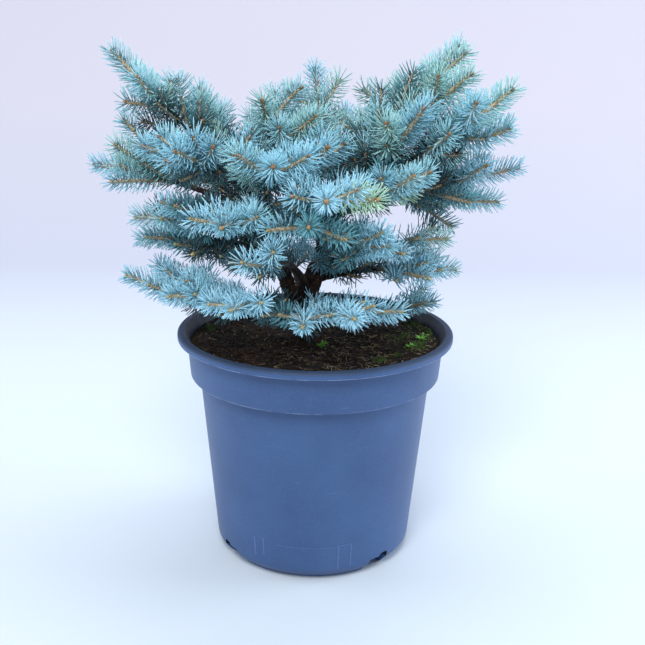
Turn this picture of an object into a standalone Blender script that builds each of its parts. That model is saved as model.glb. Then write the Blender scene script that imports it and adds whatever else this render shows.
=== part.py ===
"""Potted dwarf blue spruce: a round nursery pot, the soil in it, and a low, wide, many-boughed conifer.

Metres, +Z up. The origin is the centre of the pot's flat underside, and -Y is the front.
The trunk stands in the soil and forks low down. Boughs leave the trunk and its left limb, and a mass of
needled shoots carries each one on. A shoot is a slim core with a spike of needles on every face.
"""

import math
import random

import bmesh
import bpy
import numpy as np
from mathutils import Matrix

CLEARANCE = 0.0003

# The pot: a turned shell with a rolled rim, a collar, a chamfered foot and drainage notches.
POT_HEIGHT = 0.192
RIM_RADIUS = 0.115
RIM_INNER_RADIUS = 0.1086
RIM_DEPTH = 0.006
COLLAR_TOP_RADIUS = 0.1072
COLLAR_BOTTOM_RADIUS = 0.1045
COLLAR_DEPTH = 0.037
STEP_HEIGHT = 0.003
BODY_TOP_RADIUS = 0.0969
CHAMFER_RADIUS = 0.0835
CHAMFER_HEIGHT = 0.0095
FOOT_RADIUS = 0.0745
WALL = 0.0024
POT_SEGMENTS = 36
NOTCH_WIDTH = 0.021
NOTCH_HEIGHT = 0.0125
NOTCH_REACH = 0.0710
NOTCH_SLOPE = 0.0055
NOTCH_AZIMUTHS = (35, 131, 215, 311)
THICK_EDGE_RADIUS = 0.0665
THICK_EDGE_HEIGHT = 0.018

# The soil fills the pot to just under its rim.
SOIL_TOP = 0.178
SOIL_BUMP = 0.0012
SOIL_FLAT_RADIUS = 0.026
SOIL_EDGE_DROP = 0.002

# The trunk and its left limb: (x, y, z, radius) down the middle of each, from the bottom up.
TRUNK_LINE = (
    (-0.0070, 0.003, SOIL_TOP + CLEARANCE, 0.0165),
    (-0.0072, 0.003, 0.184, 0.0130),
    (-0.0080, 0.003, 0.197, 0.0116),
    (-0.0095, 0.003, 0.213, 0.0104),
    (-0.0055, 0.003, 0.228, 0.0086),
    (0.0045, 0.005, 0.249, 0.0074),
    (0.0100, 0.007, 0.282, 0.0062),
    (0.0130, 0.009, 0.312, 0.0052),
    (0.0160, 0.010, 0.337, 0.0040),
)
LEFT_LIMB_LINE = (
    (-0.0090, 0.003, 0.206, 0.0064),
    (-0.0170, 0.002, 0.215, 0.0066),
    (-0.0232, 0.001, 0.227, 0.0064),
    (-0.0262, 0.000, 0.238, 0.0060),
    (-0.0320, 0.001, 0.252, 0.0056),
    (-0.0430, 0.004, 0.282, 0.0050),
    (-0.0530, 0.008, 0.318, 0.0038),
)
LIMB_SIDES = 8
BOUGH_SIDES = 5
BOUGH_STEP = 0.014

# A bough tapers from its root to where its foliage begins, and runs on as the stem of that foliage.
# The stem's core is as thick as a young twig with the bases of its needles round it.
BOUGH_ROOT_RADIUS = 0.0034
BOUGH_TIP_RADIUS = 0.0024
STEM_ROOT_RADIUS = 0.0025
CORE_RADIUS = 0.0036
CORE_TIP_SHARE = 0.6
BOUGH_CURVE = 0.36
PATH_STEP = 0.004

# The growth rule, one year of growth after another, counted back from each tip.
YEAR_LENGTH = (0.029, 0.036)
SIDE_ANGLE = (42, 60)
SIDE_LIFT = (-12, 26)
SIDE_LENGTH = (0.72, 0.95)
SIDE_ROLL = (-16, 16)
SIDE_BEND = 0.35
MOST_EXTRA_RISE = 10
MOST_PAIRS = {"stem": 2, "twin": 1}
FORK_ANGLE = 38
TWIG_CLEARANCE = 0.0085
LIMB_CLEARANCE = 0.0055
POT_CLEARANCE = 0.004
SPIKE_POT_GAP = 0.0008
SPIKE_LIMB_GAP = 0.0006

# A spike stands for the needles round it. It leans forward, most at the shoot's end.
NEEDLE_LENGTH = 0.0125
NEEDLE_ANGLE = 62
NEEDLE_ANGLE_AT_TIP = 34
TIP_TUFT = 0.0085
CORE_SIDES = 3
CORE_STEP = 0.0175
SHORTER = (1.0, 0.78, 0.56)
SPIKE_GAP = 0.0005
SPIKE_ROOT_GAP = 0.0050
SIBLING_GAP = 0.0006

COLOURS = {
    "pot": ((0.075, 0.120, 0.250), 0.45),
    "soil": ((0.030, 0.020, 0.013), 0.95),
    "bark": ((0.070, 0.040, 0.024), 0.90),
    "needles": ((0.235, 0.480, 0.560), 0.60),
}


class Bough:
    """One bough and the foliage on it, described by where its leading shoots end."""

    def __init__(self, name, parent, root, azimuth, reach, height, rise,
                 foliage=0.085, leader=0.036, limb=False, more=(), seed=1):
        self.name = name
        self.parent = parent
        self.root = root
        self.azimuth = azimuth
        self.reach = reach
        self.height = height
        self.rise = rise
        self.foliage = foliage
        self.leader = leader
        self.limb = limb
        self.more = more
        self.seed = seed


# name, parent, height of its root on the parent, then its tip: azimuth, reach from the pot's axis, height
# above the underside, and the angle at which the leading shoot ends. Then the length of bough that bears
# foliage, the length of the last year's shoot, whether a bare limb carries it, and further leading shoots
# as azimuth, reach, height and angle.
BOUGHS = (
    Bough("top_left", "left_limb", 0.314, 184, 0.158, 0.414, 50, 0.095, 0.052, True,
          ((188, 0.149, 0.377, 20), (180, 0.110, 0.392, 78), (196, 0.092, 0.364, 50)), 3),
    Bough("left_crown_back", "left_limb", 0.294, 153, 0.112, 0.383, 58, 0.075, 0.036, False,
          ((141, 0.132, 0.366, 30),), 55),
    Bough("left_crown_front", "left_limb", 0.297, 226, 0.143, 0.350, 18, 0.080, 0.036, True,
          ((211, 0.147, 0.350, 18), (231, 0.080, 0.356, 30)), 5),
    Bough("left_side", "left_limb", 0.284, 181, 0.177, 0.326, 8, 0.088, 0.045, True,
          ((193, 0.162, 0.318, 4), (192, 0.141, 0.346, 16), (175, 0.157, 0.360, 18)), 7),
    Bough("left_mid", "left_limb", 0.268, 193, 0.145, 0.290, 3, 0.078, 0.036, False,
          ((218, 0.131, 0.308, 8),), 2),
    Bough("left_lower", "left_limb", 0.251, 181, 0.144, 0.266, -5, 0.076, 0.038, False,
          ((212, 0.111, 0.267, 0),), 4),
    Bough("left_low", "trunk", 0.201, 190, 0.153, 0.241, 22, 0.090, 0.050, True, ((172, 0.128, 0.236, 12),), 6),
    Bough("left_rim", "trunk", 0.193, 221, 0.143, 0.243, 8, 0.085, 0.034, True, ((235, 0.134, 0.243, 6),), 8),
    Bough("front_left_fringe", "trunk", 0.202, 247, 0.150, 0.246, 5, 0.085, 0.034, True, (), 9),
    Bough("front_fringe", "trunk", 0.191, 266, 0.130, 0.232, 2, 0.080, 0.032, False,
          ((252, 0.122, 0.236, 4),), 10),
    Bough("front_right_fringe", "trunk", 0.200, 281, 0.141, 0.241, 8, 0.085, 0.034, True,
          ((305, 0.110, 0.233, 8),), 11),
    Bough("right_low", "trunk", 0.194, 18, 0.108, 0.206, 4, 0.070, 0.034, False, ((32, 0.114, 0.211, 8),), 12),
    Bough("front_lower", "trunk", 0.224, 253, 0.136, 0.268, -4, 0.080, 0.034, False,
          ((259, 0.152, 0.290, 8), (239, 0.117, 0.271, 0)), 13),
    Bough("front_left_mid", "left_limb", 0.259, 247, 0.162, 0.306, 4, 0.085, 0.036, True, (), 14),
    Bough("front_mid", "trunk", 0.250, 268, 0.158, 0.309, 6, 0.085, 0.036, True, ((258, 0.153, 0.305, 6),), 15),
    Bough("front_star", "trunk", 0.276, 272, 0.168, 0.328, 8, 0.085, 0.038, True, ((285, 0.152, 0.326, 10),), 16),
    Bough("front_upper", "left_limb", 0.281, 259, 0.152, 0.347, 14, 0.085, 0.038, True, (), 17),
    Bough("crown_front", "left_limb", 0.309, 274, 0.100, 0.354, 32, 0.085, 0.040, False, (), 18),
    Bough("crown_left", "left_limb", 0.316, 176, 0.014, 0.388, 38, 0.078, 0.044, False,
          ((268, 0.052, 0.371, 34),), 19),
    Bough("crown_back", "trunk", 0.327, 92, 0.100, 0.398, 56, 0.078, 0.040, False, (), 70),
    Bough("right_crown", "trunk", 0.316, 313, 0.109, 0.380, 50, 0.080, 0.038, False,
          ((307, 0.074, 0.376, 50),), 21),
    Bough("right_top", "trunk", 0.334, 24, 0.126, 0.420, 44, 0.090, 0.050, True,
          ((49, 0.105, 0.388, 40), (53, 0.063, 0.384, 50)), 22),
    Bough("right_top_front", "trunk", 0.321, 354, 0.118, 0.401, 40, 0.078, 0.036, False, (), 23),
    Bough("right_arm", "trunk", 0.304, 337, 0.153, 0.393, 42, 0.092, 0.046, True,
          ((359, 0.150, 0.361, 20), (322, 0.120, 0.362, 30)), 24),
    Bough("right_side", "trunk", 0.286, 358, 0.160, 0.329, 14, 0.095, 0.050, True,
          ((346, 0.122, 0.305, 2), (18, 0.153, 0.294, -4)), 25),
    Bough("right_front", "trunk", 0.293, 304, 0.121, 0.335, 28, 0.080, 0.036, False, (), 26),
    Bough("right_mid", "trunk", 0.252, 350, 0.106, 0.273, 6, 0.075, 0.036, False, ((322, 0.084, 0.268, 4),), 27),
    Bough("right_lower", "trunk", 0.232, 3, 0.115, 0.242, -6, 0.072, 0.036, False, ((342, 0.094, 0.243, -6),), 28),
    Bough("right_inner", "trunk", 0.240, 292, 0.108, 0.281, 8, 0.070, 0.032, False,
          ((278, 0.131, 0.299, 10),), 29),
    Bough("back_crown", "left_limb", 0.312, 108, 0.130, 0.362, 30, 0.085, 0.040, False, (), 30),
    Bough("back_crown_right", "trunk", 0.310, 62, 0.133, 0.362, 32, 0.085, 0.040, False,
          ((80, 0.130, 0.360, 32),), 31),
    Bough("back_left", "left_limb", 0.276, 145, 0.158, 0.325, 12, 0.088, 0.042, True,
          ((162, 0.150, 0.316, 10),), 32),
    Bough("back_right", "trunk", 0.281, 38, 0.160, 0.325, 12, 0.088, 0.042, True,
          ((55, 0.155, 0.315, 12), (19, 0.122, 0.272, -18)), 33),
    Bough("back_mid", "trunk", 0.296, 93, 0.160, 0.320, 12, 0.088, 0.042, True, ((112, 0.152, 0.322, 14),), 34),
    Bough("back_low_left", "left_limb", 0.243, 131, 0.148, 0.262, 2, 0.080, 0.038, False,
          ((108, 0.146, 0.268, 4),), 35),
    Bough("back_low_right", "trunk", 0.236, 62, 0.146, 0.240, 2, 0.080, 0.038, False,
          ((84, 0.146, 0.252, 4),), 36),
    Bough("back_fringe", "trunk", 0.214, 104, 0.134, 0.234, 4, 0.080, 0.036, False, ((128, 0.134, 0.234, 4),), 37),
)


def clear_scene():
    for item in list(bpy.data.objects):
        bpy.data.objects.remove(item, do_unlink=True)


def make_material(name):
    colour, roughness = COLOURS[name]
    material = bpy.data.materials.new(name)
    material.use_nodes = True
    shader = material.node_tree.nodes["Principled BSDF"]
    shader.inputs["Base Color"].default_value = (*colour, 1.0)
    shader.inputs["Roughness"].default_value = roughness
    shader.inputs["Metallic"].default_value = 0.0
    return material


def add_object(name, bm, material, smooth_angle=None):
    mesh = bpy.data.meshes.new(name)
    bm.to_mesh(mesh)
    bm.free()
    if material:
        mesh.materials.append(material)
    if smooth_angle is not None:
        mesh.shade_smooth()
        mesh.set_sharp_from_angle(angle=math.radians(smooth_angle))
    item = bpy.data.objects.new(name, mesh)
    bpy.context.scene.collection.objects.link(item)
    return item


def polar(azimuth, reach, height):
    angle = math.radians(azimuth)
    return np.array((reach * math.cos(angle), reach * math.sin(angle), height))


def unit(vector):
    return vector / np.linalg.norm(vector)


# Turned pieces: the pot and its soil.


def turned(profile, segments):
    """A bmesh spun once round Z from (radius, height) pairs that run from the axis back to the axis."""
    bm = bmesh.new()
    verts = [bm.verts.new((radius, 0, height)) for radius, height in profile]
    edges = [bm.edges.new(pair) for pair in zip(verts, verts[1:])]
    bmesh.ops.spin(
        bm, geom=verts + edges, cent=(0, 0, 0), axis=(0, 0, 1),
        angle=2 * math.pi, steps=segments, use_merge=True,
    )
    bmesh.ops.remove_doubles(bm, verts=bm.verts[:], dist=1e-6)
    bmesh.ops.recalc_face_normals(bm, faces=bm.faces[:])
    return bm


def pot_inside():
    """The inner profile of the pot, from its floor up, as (radius, height)."""
    step = POT_HEIGHT - COLLAR_DEPTH
    return [
        (0, WALL),
        (THICK_EDGE_RADIUS, WALL),
        (CHAMFER_RADIUS - WALL, THICK_EDGE_HEIGHT),
        (BODY_TOP_RADIUS - WALL, step),
        (COLLAR_BOTTOM_RADIUS - WALL, step + STEP_HEIGHT),
        (COLLAR_TOP_RADIUS - WALL, POT_HEIGHT - RIM_DEPTH),
        (RIM_INNER_RADIUS, POT_HEIGHT),
    ]


def pot_outside():
    """The outer profile, from the rim down to the middle of the underside."""
    step = POT_HEIGHT - COLLAR_DEPTH
    return [
        (RIM_RADIUS - 0.001, POT_HEIGHT),
        (RIM_RADIUS, POT_HEIGHT - 0.001),
        (RIM_RADIUS, POT_HEIGHT - RIM_DEPTH),
        (COLLAR_TOP_RADIUS, POT_HEIGHT - RIM_DEPTH),
        (COLLAR_BOTTOM_RADIUS, step),
        (BODY_TOP_RADIUS, step - 0.001),
        (CHAMFER_RADIUS, CHAMFER_HEIGHT),
        (FOOT_RADIUS, 0),
        (0, 0),
    ]


def make_pot(material):
    pot = add_object("pot", turned(pot_inside() + pot_outside(), POT_SEGMENTS), material, 30)
    cutter = bmesh.new()
    for azimuth in NOTCH_AZIMUTHS:
        block = bmesh.ops.create_cube(cutter, size=1.0)["verts"]
        bmesh.ops.scale(cutter, vec=(0.03, NOTCH_WIDTH, 2 * NOTCH_HEIGHT), verts=block)
        bmesh.ops.translate(cutter, vec=(NOTCH_REACH + 0.015, 0, 0), verts=block)
        for vert in block:
            if vert.co.z > 0 and vert.co.x < NOTCH_REACH + 0.01:
                vert.co.x += NOTCH_SLOPE
        turn = Matrix.Rotation(math.radians(azimuth), 3, "Z")
        bmesh.ops.rotate(cutter, cent=(0, 0, 0), matrix=turn, verts=block)
    notches = add_object("pot_notches", cutter, None)
    join_or_cut(pot, notches, "DIFFERENCE")
    return pot


def make_soil(material):
    """The root ball: the pot's inside less a small gap, with an uneven top that is flat round the trunk."""
    wall = [
        (radius - CLEARANCE * 1.5, height + CLEARANCE * 1.2)
        for radius, height in pot_inside()
        if height < SOIL_TOP and radius > 0
    ]
    wall[0] = (wall[0][0] - CLEARANCE, wall[0][1])
    low = wall[-1]
    high = (COLLAR_TOP_RADIUS - WALL, POT_HEIGHT - RIM_DEPTH)
    share = (SOIL_TOP - SOIL_EDGE_DROP - low[1]) / (high[1] - low[1])
    edge = low[0] + (high[0] - low[0]) * share - CLEARANCE * 1.5
    top = [
        (edge, SOIL_TOP - SOIL_EDGE_DROP),
        (0.066, SOIL_TOP),
        (SOIL_FLAT_RADIUS, SOIL_TOP),
        (0, SOIL_TOP),
    ]
    bm = turned([(0, wall[0][1])] + wall + top, POT_SEGMENTS)
    rng = random.Random(41)
    for vert in sorted(bm.verts, key=lambda v: (round(v.co.z, 5), round(v.co.x, 5), round(v.co.y, 5))):
        radius = math.hypot(vert.co.x, vert.co.y)
        if SOIL_FLAT_RADIUS + 0.001 < radius < edge - 0.001 and vert.co.z > SOIL_TOP - 0.001:
            vert.co.z += rng.uniform(-SOIL_BUMP, SOIL_BUMP)
    return add_object("soil", bm, material, 40)


# Lines through space: an array of points, one row each.


def bezier(start, handle_a, handle_b, end, count):
    t = np.linspace(0, 1, count)[:, None]
    return (
        (1 - t) ** 3 * start + 3 * (1 - t) ** 2 * t * handle_a + 3 * (1 - t) * t**2 * handle_b + t**3 * end
    )


def lengths(line):
    return np.concatenate([[0], np.cumsum(np.linalg.norm(np.diff(line, axis=0), axis=1))])


def point_at(line, distance):
    along = lengths(line)
    return np.array([np.interp(distance, along, line[:, axis]) for axis in range(3)])


def cut_line(line, start, end, step):
    """The stretch of a line between two distances along it, in even steps."""
    count = max(2, round((end - start) / step)) + 1
    return np.array([point_at(line, s) for s in np.linspace(start, end, count)])


def frames_along(line):
    """(tangent, across, upward) at each point, carried along the line with no twist of its own."""
    ahead = np.gradient(line, axis=0)
    ahead /= np.linalg.norm(ahead, axis=1)[:, None]
    across = np.cross(ahead[0], (0, 0, 1.0))
    if np.linalg.norm(across) < 0.2:
        across = np.cross(ahead[0], (0, 1.0, 0))
    across = unit(across)
    out = []
    for tangent in ahead:
        across = unit(across - tangent * across.dot(tangent))
        out.append((tangent, across, np.cross(across, tangent)))
    return out


# The skeleton: limbs, boughs and shoots as lines, before any of them gets a surface.


def limb_axis(table):
    return np.array([row[:3] for row in table])


def on_limb(table, height):
    """The point of a limb's middle line at a height."""
    rows = np.array(table)
    return np.array([np.interp(height, rows[:, 2], rows[:, axis]) for axis in range(3)])


PARENTS = {"trunk": TRUNK_LINE, "left_limb": LEFT_LIMB_LINE}


def sweep(root, tip, rise):
    """A bough's line: an even arc from its root that ends at the tip, rising at that many degrees."""
    chord = tip - root
    level = math.hypot(chord[0], chord[1])
    heading = np.array((chord[0], chord[1], 0)) / level
    slope = math.degrees(math.atan2(chord[2], level))
    leaves_at = max(-25.0, min(72.0, 2 * slope - rise))
    reach = np.linalg.norm(chord) * BOUGH_CURVE

    def direction(angle):
        angle = math.radians(angle)
        return heading * math.cos(angle) + np.array((0, 0, math.sin(angle)))

    rough = bezier(root, root + direction(leaves_at) * reach, tip - direction(rise) * reach, tip, 33)
    return cut_line(rough, 0, lengths(rough)[-1], PATH_STEP)


def skeleton():
    """Every line of the plant, before it has a surface: limbs by name as (line, radii), each bough's stem as
    (line, where foliage begins, its length), and shoots as (mass, line, kind)."""
    limbs = {
        "trunk": (limb_axis(TRUNK_LINE), [row[3] for row in TRUNK_LINE]),
        "left_limb": (limb_axis(LEFT_LIMB_LINE), [row[3] for row in LEFT_LIMB_LINE]),
    }
    stems = {}
    for bough in BOUGHS:
        root = on_limb(PARENTS[bough.parent], bough.root)
        line = sweep(root, polar(bough.azimuth, bough.reach, bough.height), bough.rise)
        total = lengths(line)[-1]
        begins = total - bough.foliage
        if bough.limb:
            bare = cut_line(line, 0, begins, BOUGH_STEP)
            limbs["bough_" + bough.name] = (
                bare, list(np.linspace(BOUGH_ROOT_RADIUS, BOUGH_TIP_RADIUS, len(bare))),
            )
            begins += CLEARANCE
        stems[bough.name] = (line, begins, total)
    shoots = []
    for bough in BOUGHS:
        line, begins, total = stems[bough.name]
        shoots.append((bough.name, cut_line(line, begins, total, PATH_STEP), "stem"))
        for azimuth, reach, height, rise in bough.more:
            tip = polar(azimuth, reach, height)
            shoots.append((bough.name, fork(line, begins, total, tip, rise), "twin"))
    for bough in BOUGHS:
        rng = random.Random(bough.seed)
        for mass, line, kind in list(shoots):
            if mass == bough.name and kind in ("stem", "twin"):
                shoots += side_shoots(bough, line, kind, rng, shoots, limbs)
    return limbs, stems, shoots


def fork(line, begins, total, tip, rise):
    """A further leading shoot. It leaves the stem where it can run on without a sharp bend."""
    best = None
    for share in np.linspace(0.06, 0.7, 9):
        root = point_at(line, begins + (total - begins) * share)
        ahead = unit(point_at(line, begins + (total - begins) * share + 0.004) - root)
        turn = math.degrees(math.acos(max(-1, min(1, ahead.dot(unit(tip - root))))))
        fault = abs(turn - FORK_ANGLE)
        if best is None or fault < best[0]:
            best = (fault, root, ahead)
    _, root, ahead = best
    chord = tip - root
    size = np.linalg.norm(chord)
    outward = unit(chord / size + ahead * 0.35)
    level = unit(np.array((chord[0], chord[1], 0.0)))
    ending = level * math.cos(math.radians(rise)) + np.array((0, 0, math.sin(math.radians(rise))))
    ending = unit(ending + chord / size)
    rough = bezier(root, root + outward * size * 0.33, tip - ending * size * 0.33, tip, 17)
    return cut_line(rough, 0, lengths(rough)[-1], PATH_STEP)


def side_shoots(bough, line, kind, rng, others, limbs):
    """Pairs of side shoots where each year's growth ended, tested against what is already there."""
    found = []
    total = lengths(line)[-1]
    at = total - bough.leader
    pairs = 0
    while at > 0.012 and pairs < MOST_PAIRS[kind]:
        point = point_at(line, at)
        ahead = unit(point_at(line, at + 0.003) - point_at(line, at - 0.003))
        across = np.cross(ahead, (0, 0, 1.0))
        if np.linalg.norm(across) < 0.3:
            across = np.cross(ahead, (1.0, 0.3, 0))
        across = unit(across)
        upward = np.cross(across, ahead)
        roll = math.radians(rng.uniform(*SIDE_ROLL))
        for side in (1, -1):
            angle = math.radians(rng.uniform(*SIDE_ANGLE))
            lift = math.radians(rng.uniform(*SIDE_LIFT)) + roll * side
            length = bough.leader * rng.uniform(*SIDE_LENGTH)
            sideways = across * side * math.cos(lift) + upward * math.sin(lift)
            start = settled(ahead * math.cos(angle) + sideways * math.sin(angle), bough.rise)
            twig = bezier(
                point,
                point + start * length * SIDE_BEND,
                point + start * length * 0.7 + (ahead + upward * 0.4) * length * 0.06,
                point + start * length * 0.92 + (ahead + upward * 0.5) * length * 0.16,
                6,
            )
            if fits(bough.name, twig, others + found, limbs):
                found.append((bough.name, twig, "side"))
        at -= rng.uniform(*YEAR_LENGTH)
        pairs += 1
    return found


def settled(direction, rise):
    """A side shoot's direction, laid down until it rises little more than the leading shoot does."""
    most = math.sin(math.radians(min(80, rise + MOST_EXTRA_RISE)))
    if direction[2] <= most:
        return direction
    level = unit(np.array((direction[0], direction[1], 0)))
    return level * math.sqrt(1 - most**2) + np.array((0, 0, most))


def fits(mass, twig, others, limbs):
    """Whether a twig keeps to its own space: away from other masses, limbs, pot and soil."""
    outer = twig[2:]
    for name, line, _ in others:
        room = TWIG_CLEARANCE if name != mass else TWIG_CLEARANCE * 0.75
        points = outer if name != mass else twig[3:]
        if gap_between(points, line) < room:
            return False
    for name, (line, radii) in limbs.items():
        if gap_between(outer, line) < LIMB_CLEARANCE + min(radii):
            return False
    return all(above_pot(point, POT_CLEARANCE + CORE_RADIUS) for point in outer)


def gap_between(points, line):
    """The least distance from some points to a line."""
    return segment_distances(points, line[:-1], line[1:]).min()


def segment_distances(points, starts, ends):
    """Distances from each point (rows) to each segment (columns)."""
    run = ends - starts
    to = points[:, None, :] - starts[None]
    share = np.clip((to * run).sum(-1) / np.maximum((run * run).sum(-1), 1e-12), 0, 1)
    return np.linalg.norm(to - share[..., None] * run, axis=-1)


def above_pot(point, room):
    """Whether a point stays that far clear of the soil and of the pot's rim."""
    radius = math.hypot(point[0], point[1])
    if point[2] > POT_HEIGHT + room:
        return True
    return radius < RIM_INNER_RADIUS - WALL - room and point[2] > SOIL_TOP + SOIL_BUMP + room


# Surfaces.


def tube(line, radii, sides, flat_start=False):
    """A closed, tapering limb with flat ends."""
    bm = bmesh.new()
    rings = []
    for point, radius, (ahead, across, upward) in zip(line, radii, frames_along(line)):
        if flat_start and not rings:
            across = unit(across * (1, 1, 0))
            upward = np.cross(across, (0, 0, 1.0))
        ring = []
        for side in range(sides):
            angle = 2 * math.pi * side / sides
            offset = across * math.cos(angle) + upward * math.sin(angle)
            ring.append(bm.verts.new(point + offset * radius))
        rings.append(ring)
    for low, high in zip(rings, rings[1:]):
        for side in range(sides):
            after = (side + 1) % sides
            bm.faces.new((low[side], low[after], high[after], high[side]))
    bm.faces.new(rings[0][::-1])
    bm.faces.new(rings[-1])
    bmesh.ops.recalc_face_normals(bm, faces=bm.faces[:])
    return bm


def make_limbs(limbs, material):
    """The trunk, the left limb and the boughs. Each is cut clear of the one that carries it."""
    made = {}
    parents = {"bough_" + bough.name: bough.parent for bough in BOUGHS}
    parents["left_limb"] = "trunk"
    for name, (line, radii) in limbs.items():
        sides = LIMB_SIDES if name in PARENTS else BOUGH_SIDES
        made[name] = add_object(name, tube(line, radii, sides, name == "trunk"), material, 50)
        if name in parents:
            cut_clear(made[name], limbs, parents[name])
    return made


def cut_clear(item, limbs, parent):
    """Subtracts a slightly swollen copy of the parent limb, so that the joint keeps a small gap."""
    line, radii = limbs[parent]
    swollen = [radius + CLEARANCE for radius in radii]
    stretched = line.copy()
    stretched[0] -= (line[1] - line[0]) * 0.4
    stretched[-1] += (line[-1] - line[-2]) * 0.05
    cutter = add_object("cutter", tube(stretched, swollen, LIMB_SIDES, parent == "trunk"), None)
    join_or_cut(item, cutter, "DIFFERENCE")
    keep_largest_piece(item)


def join_or_cut(item, other, operation):
    boolean = item.modifiers.new(operation.lower(), "BOOLEAN")
    boolean.operation = operation
    boolean.object = other
    apply_modifiers(item)
    bpy.data.objects.remove(other, do_unlink=True)


def apply_modifiers(item):
    graph = bpy.context.evaluated_depsgraph_get()
    mesh = bpy.data.meshes.new_from_object(item.evaluated_get(graph))
    item.modifiers.clear()
    item.data = mesh
    mesh.name = item.name


def keep_largest_piece(item):
    """Drops loose scraps that a cut or a union leaves behind."""
    bm = bmesh.new()
    bm.from_mesh(item.data)
    unseen = set(bm.verts)
    pieces = []
    while unseen:
        seed = unseen.pop()
        piece, edge = {seed}, [seed]
        while edge:
            vert = edge.pop()
            for link in vert.link_edges:
                other = link.other_vert(vert)
                if other not in piece:
                    piece.add(other)
                    edge.append(other)
        unseen -= piece
        pieces.append(piece)
    largest = max(pieces, key=len)
    bmesh.ops.delete(bm, geom=[vert for vert in bm.verts if vert not in largest], context="VERTS")
    bm.to_mesh(item.data)
    bm.free()


class Space:
    """What lies round each mass, for keeping its needles to themselves."""

    def __init__(self, limbs, shoots):
        self.starts = np.concatenate([line[:-1] for _, line, _ in shoots])
        self.ends = np.concatenate([line[1:] for _, line, _ in shoots])
        self.mass = np.concatenate([[mass] * (len(line) - 1) for mass, line, _ in shoots])
        self.shoot = np.concatenate([[index] * (len(line) - 1) for index, (_, line, _) in enumerate(shoots)])
        self.limb_starts = np.concatenate([line[:-1] for line, _ in limbs.values()])
        self.limb_ends = np.concatenate([line[1:] for line, _ in limbs.values()])
        self.limb_radius = np.concatenate([np.array(radii[:-1]) for _, radii in limbs.values()])

    def allows(self, mass, shoot, root, tip):
        """Whether a spike from root to tip stays in its mass's own space, and ends in its shoot's own."""
        shares = np.array((0.15, 0.4, 0.65, 0.85, 1.0))
        points = root + (tip - root) * shares[:, None]
        spread = SPIKE_GAP + SPIKE_ROOT_GAP * (1 - shares)
        gaps = segment_distances(points, self.starts, self.ends)
        own = gaps[:, self.mass == mass].min(axis=1)
        rest = gaps[:, self.mass != mass].min(axis=1)
        if (own + spread > rest).any():
            return False
        siblings = (self.mass == mass) & (self.shoot != shoot)
        if siblings.any():
            mine = gaps[:, self.shoot == shoot].min(axis=1)
            if (mine + SIBLING_GAP > gaps[:, siblings].min(axis=1))[1:].any():
                return False
        limb_gaps = segment_distances(points, self.limb_starts, self.limb_ends) - self.limb_radius
        if (limb_gaps.min(axis=1) < SPIKE_LIMB_GAP + 0.6 * SPIKE_ROOT_GAP * (1 - shares)).any():
            return False
        return all(above_pot(point, SPIKE_POT_GAP + gap) for point, gap in zip(points, spread))


def spray(mass, shoot, line, kind, space):
    """One shoot: a three-sided core whose faces are drawn out into spikes, the last one into a tuft."""
    count = max(2, round(lengths(line)[-1] / CORE_STEP))
    points = cut_line(line, 0, lengths(line)[-1], lengths(line)[-1] / count)
    bm = bmesh.new()
    rings = []
    frames = frames_along(points)
    last = len(points) - 1
    for index, (point, (ahead, across, upward)) in enumerate(zip(points, frames)):
        radius = CORE_RADIUS * (CORE_TIP_SHARE if index == last else 1.0)
        if kind == "stem" and index == 0:
            radius = STEM_ROOT_RADIUS
        turn = math.pi / CORE_SIDES * (index % 2)
        ring = []
        for side in range(CORE_SIDES):
            angle = 2 * math.pi * side / CORE_SIDES + turn
            ring.append(bm.verts.new(point + (across * math.cos(angle) + upward * math.sin(angle)) * radius))
        rings.append(ring)
    faces = []
    for index, (low, high) in enumerate(zip(rings, rings[1:])):
        shift = index % 2
        for side in range(CORE_SIDES):
            after = (side + 1) % CORE_SIDES
            apex = high[(side + shift) % CORE_SIDES]
            beyond = high[(side + 1 + shift) % CORE_SIDES]
            faces.append((bm.faces.new((low[side], low[after], apex)), index))
            faces.append((bm.faces.new((low[after], beyond, apex)), index))
    bm.faces.new(rings[0][::-1])
    end = bm.faces.new(rings[-1])
    bmesh.ops.recalc_face_normals(bm, faces=bm.faces[:])
    for face, index in faces:
        # Where a side shoot leaves its stem, half of its faces stay plain.
        if kind == "side" and index == 0 and face.verts[1] not in rings[0]:
            continue
        share = (index + 1) / count
        lean = math.radians(NEEDLE_ANGLE + (NEEDLE_ANGLE_AT_TIP - NEEDLE_ANGLE) * share**3)
        ahead = frames[index][0]
        root = np.array(face.calc_center_median())
        outward = root - (points[index] + points[index + 1]) / 2
        outward = unit(outward - ahead * outward.dot(ahead))
        for size in SHORTER:
            tip = root + (outward * math.sin(lean) + ahead * math.cos(lean)) * NEEDLE_LENGTH * size
            if space.allows(mass, shoot, root, tip):
                point = bmesh.ops.poke(bm, faces=[face])["verts"][0]
                point.co = tip
                break
    tuft = points[-1] + frames[-1][0] * TIP_TUFT
    for size in SHORTER:
        tip = points[-1] + (tuft - points[-1]) * size
        if space.allows(mass, shoot, points[-1], tip):
            bmesh.ops.poke(bm, faces=[end])["verts"][0].co = tip
            break
    return bm


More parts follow.
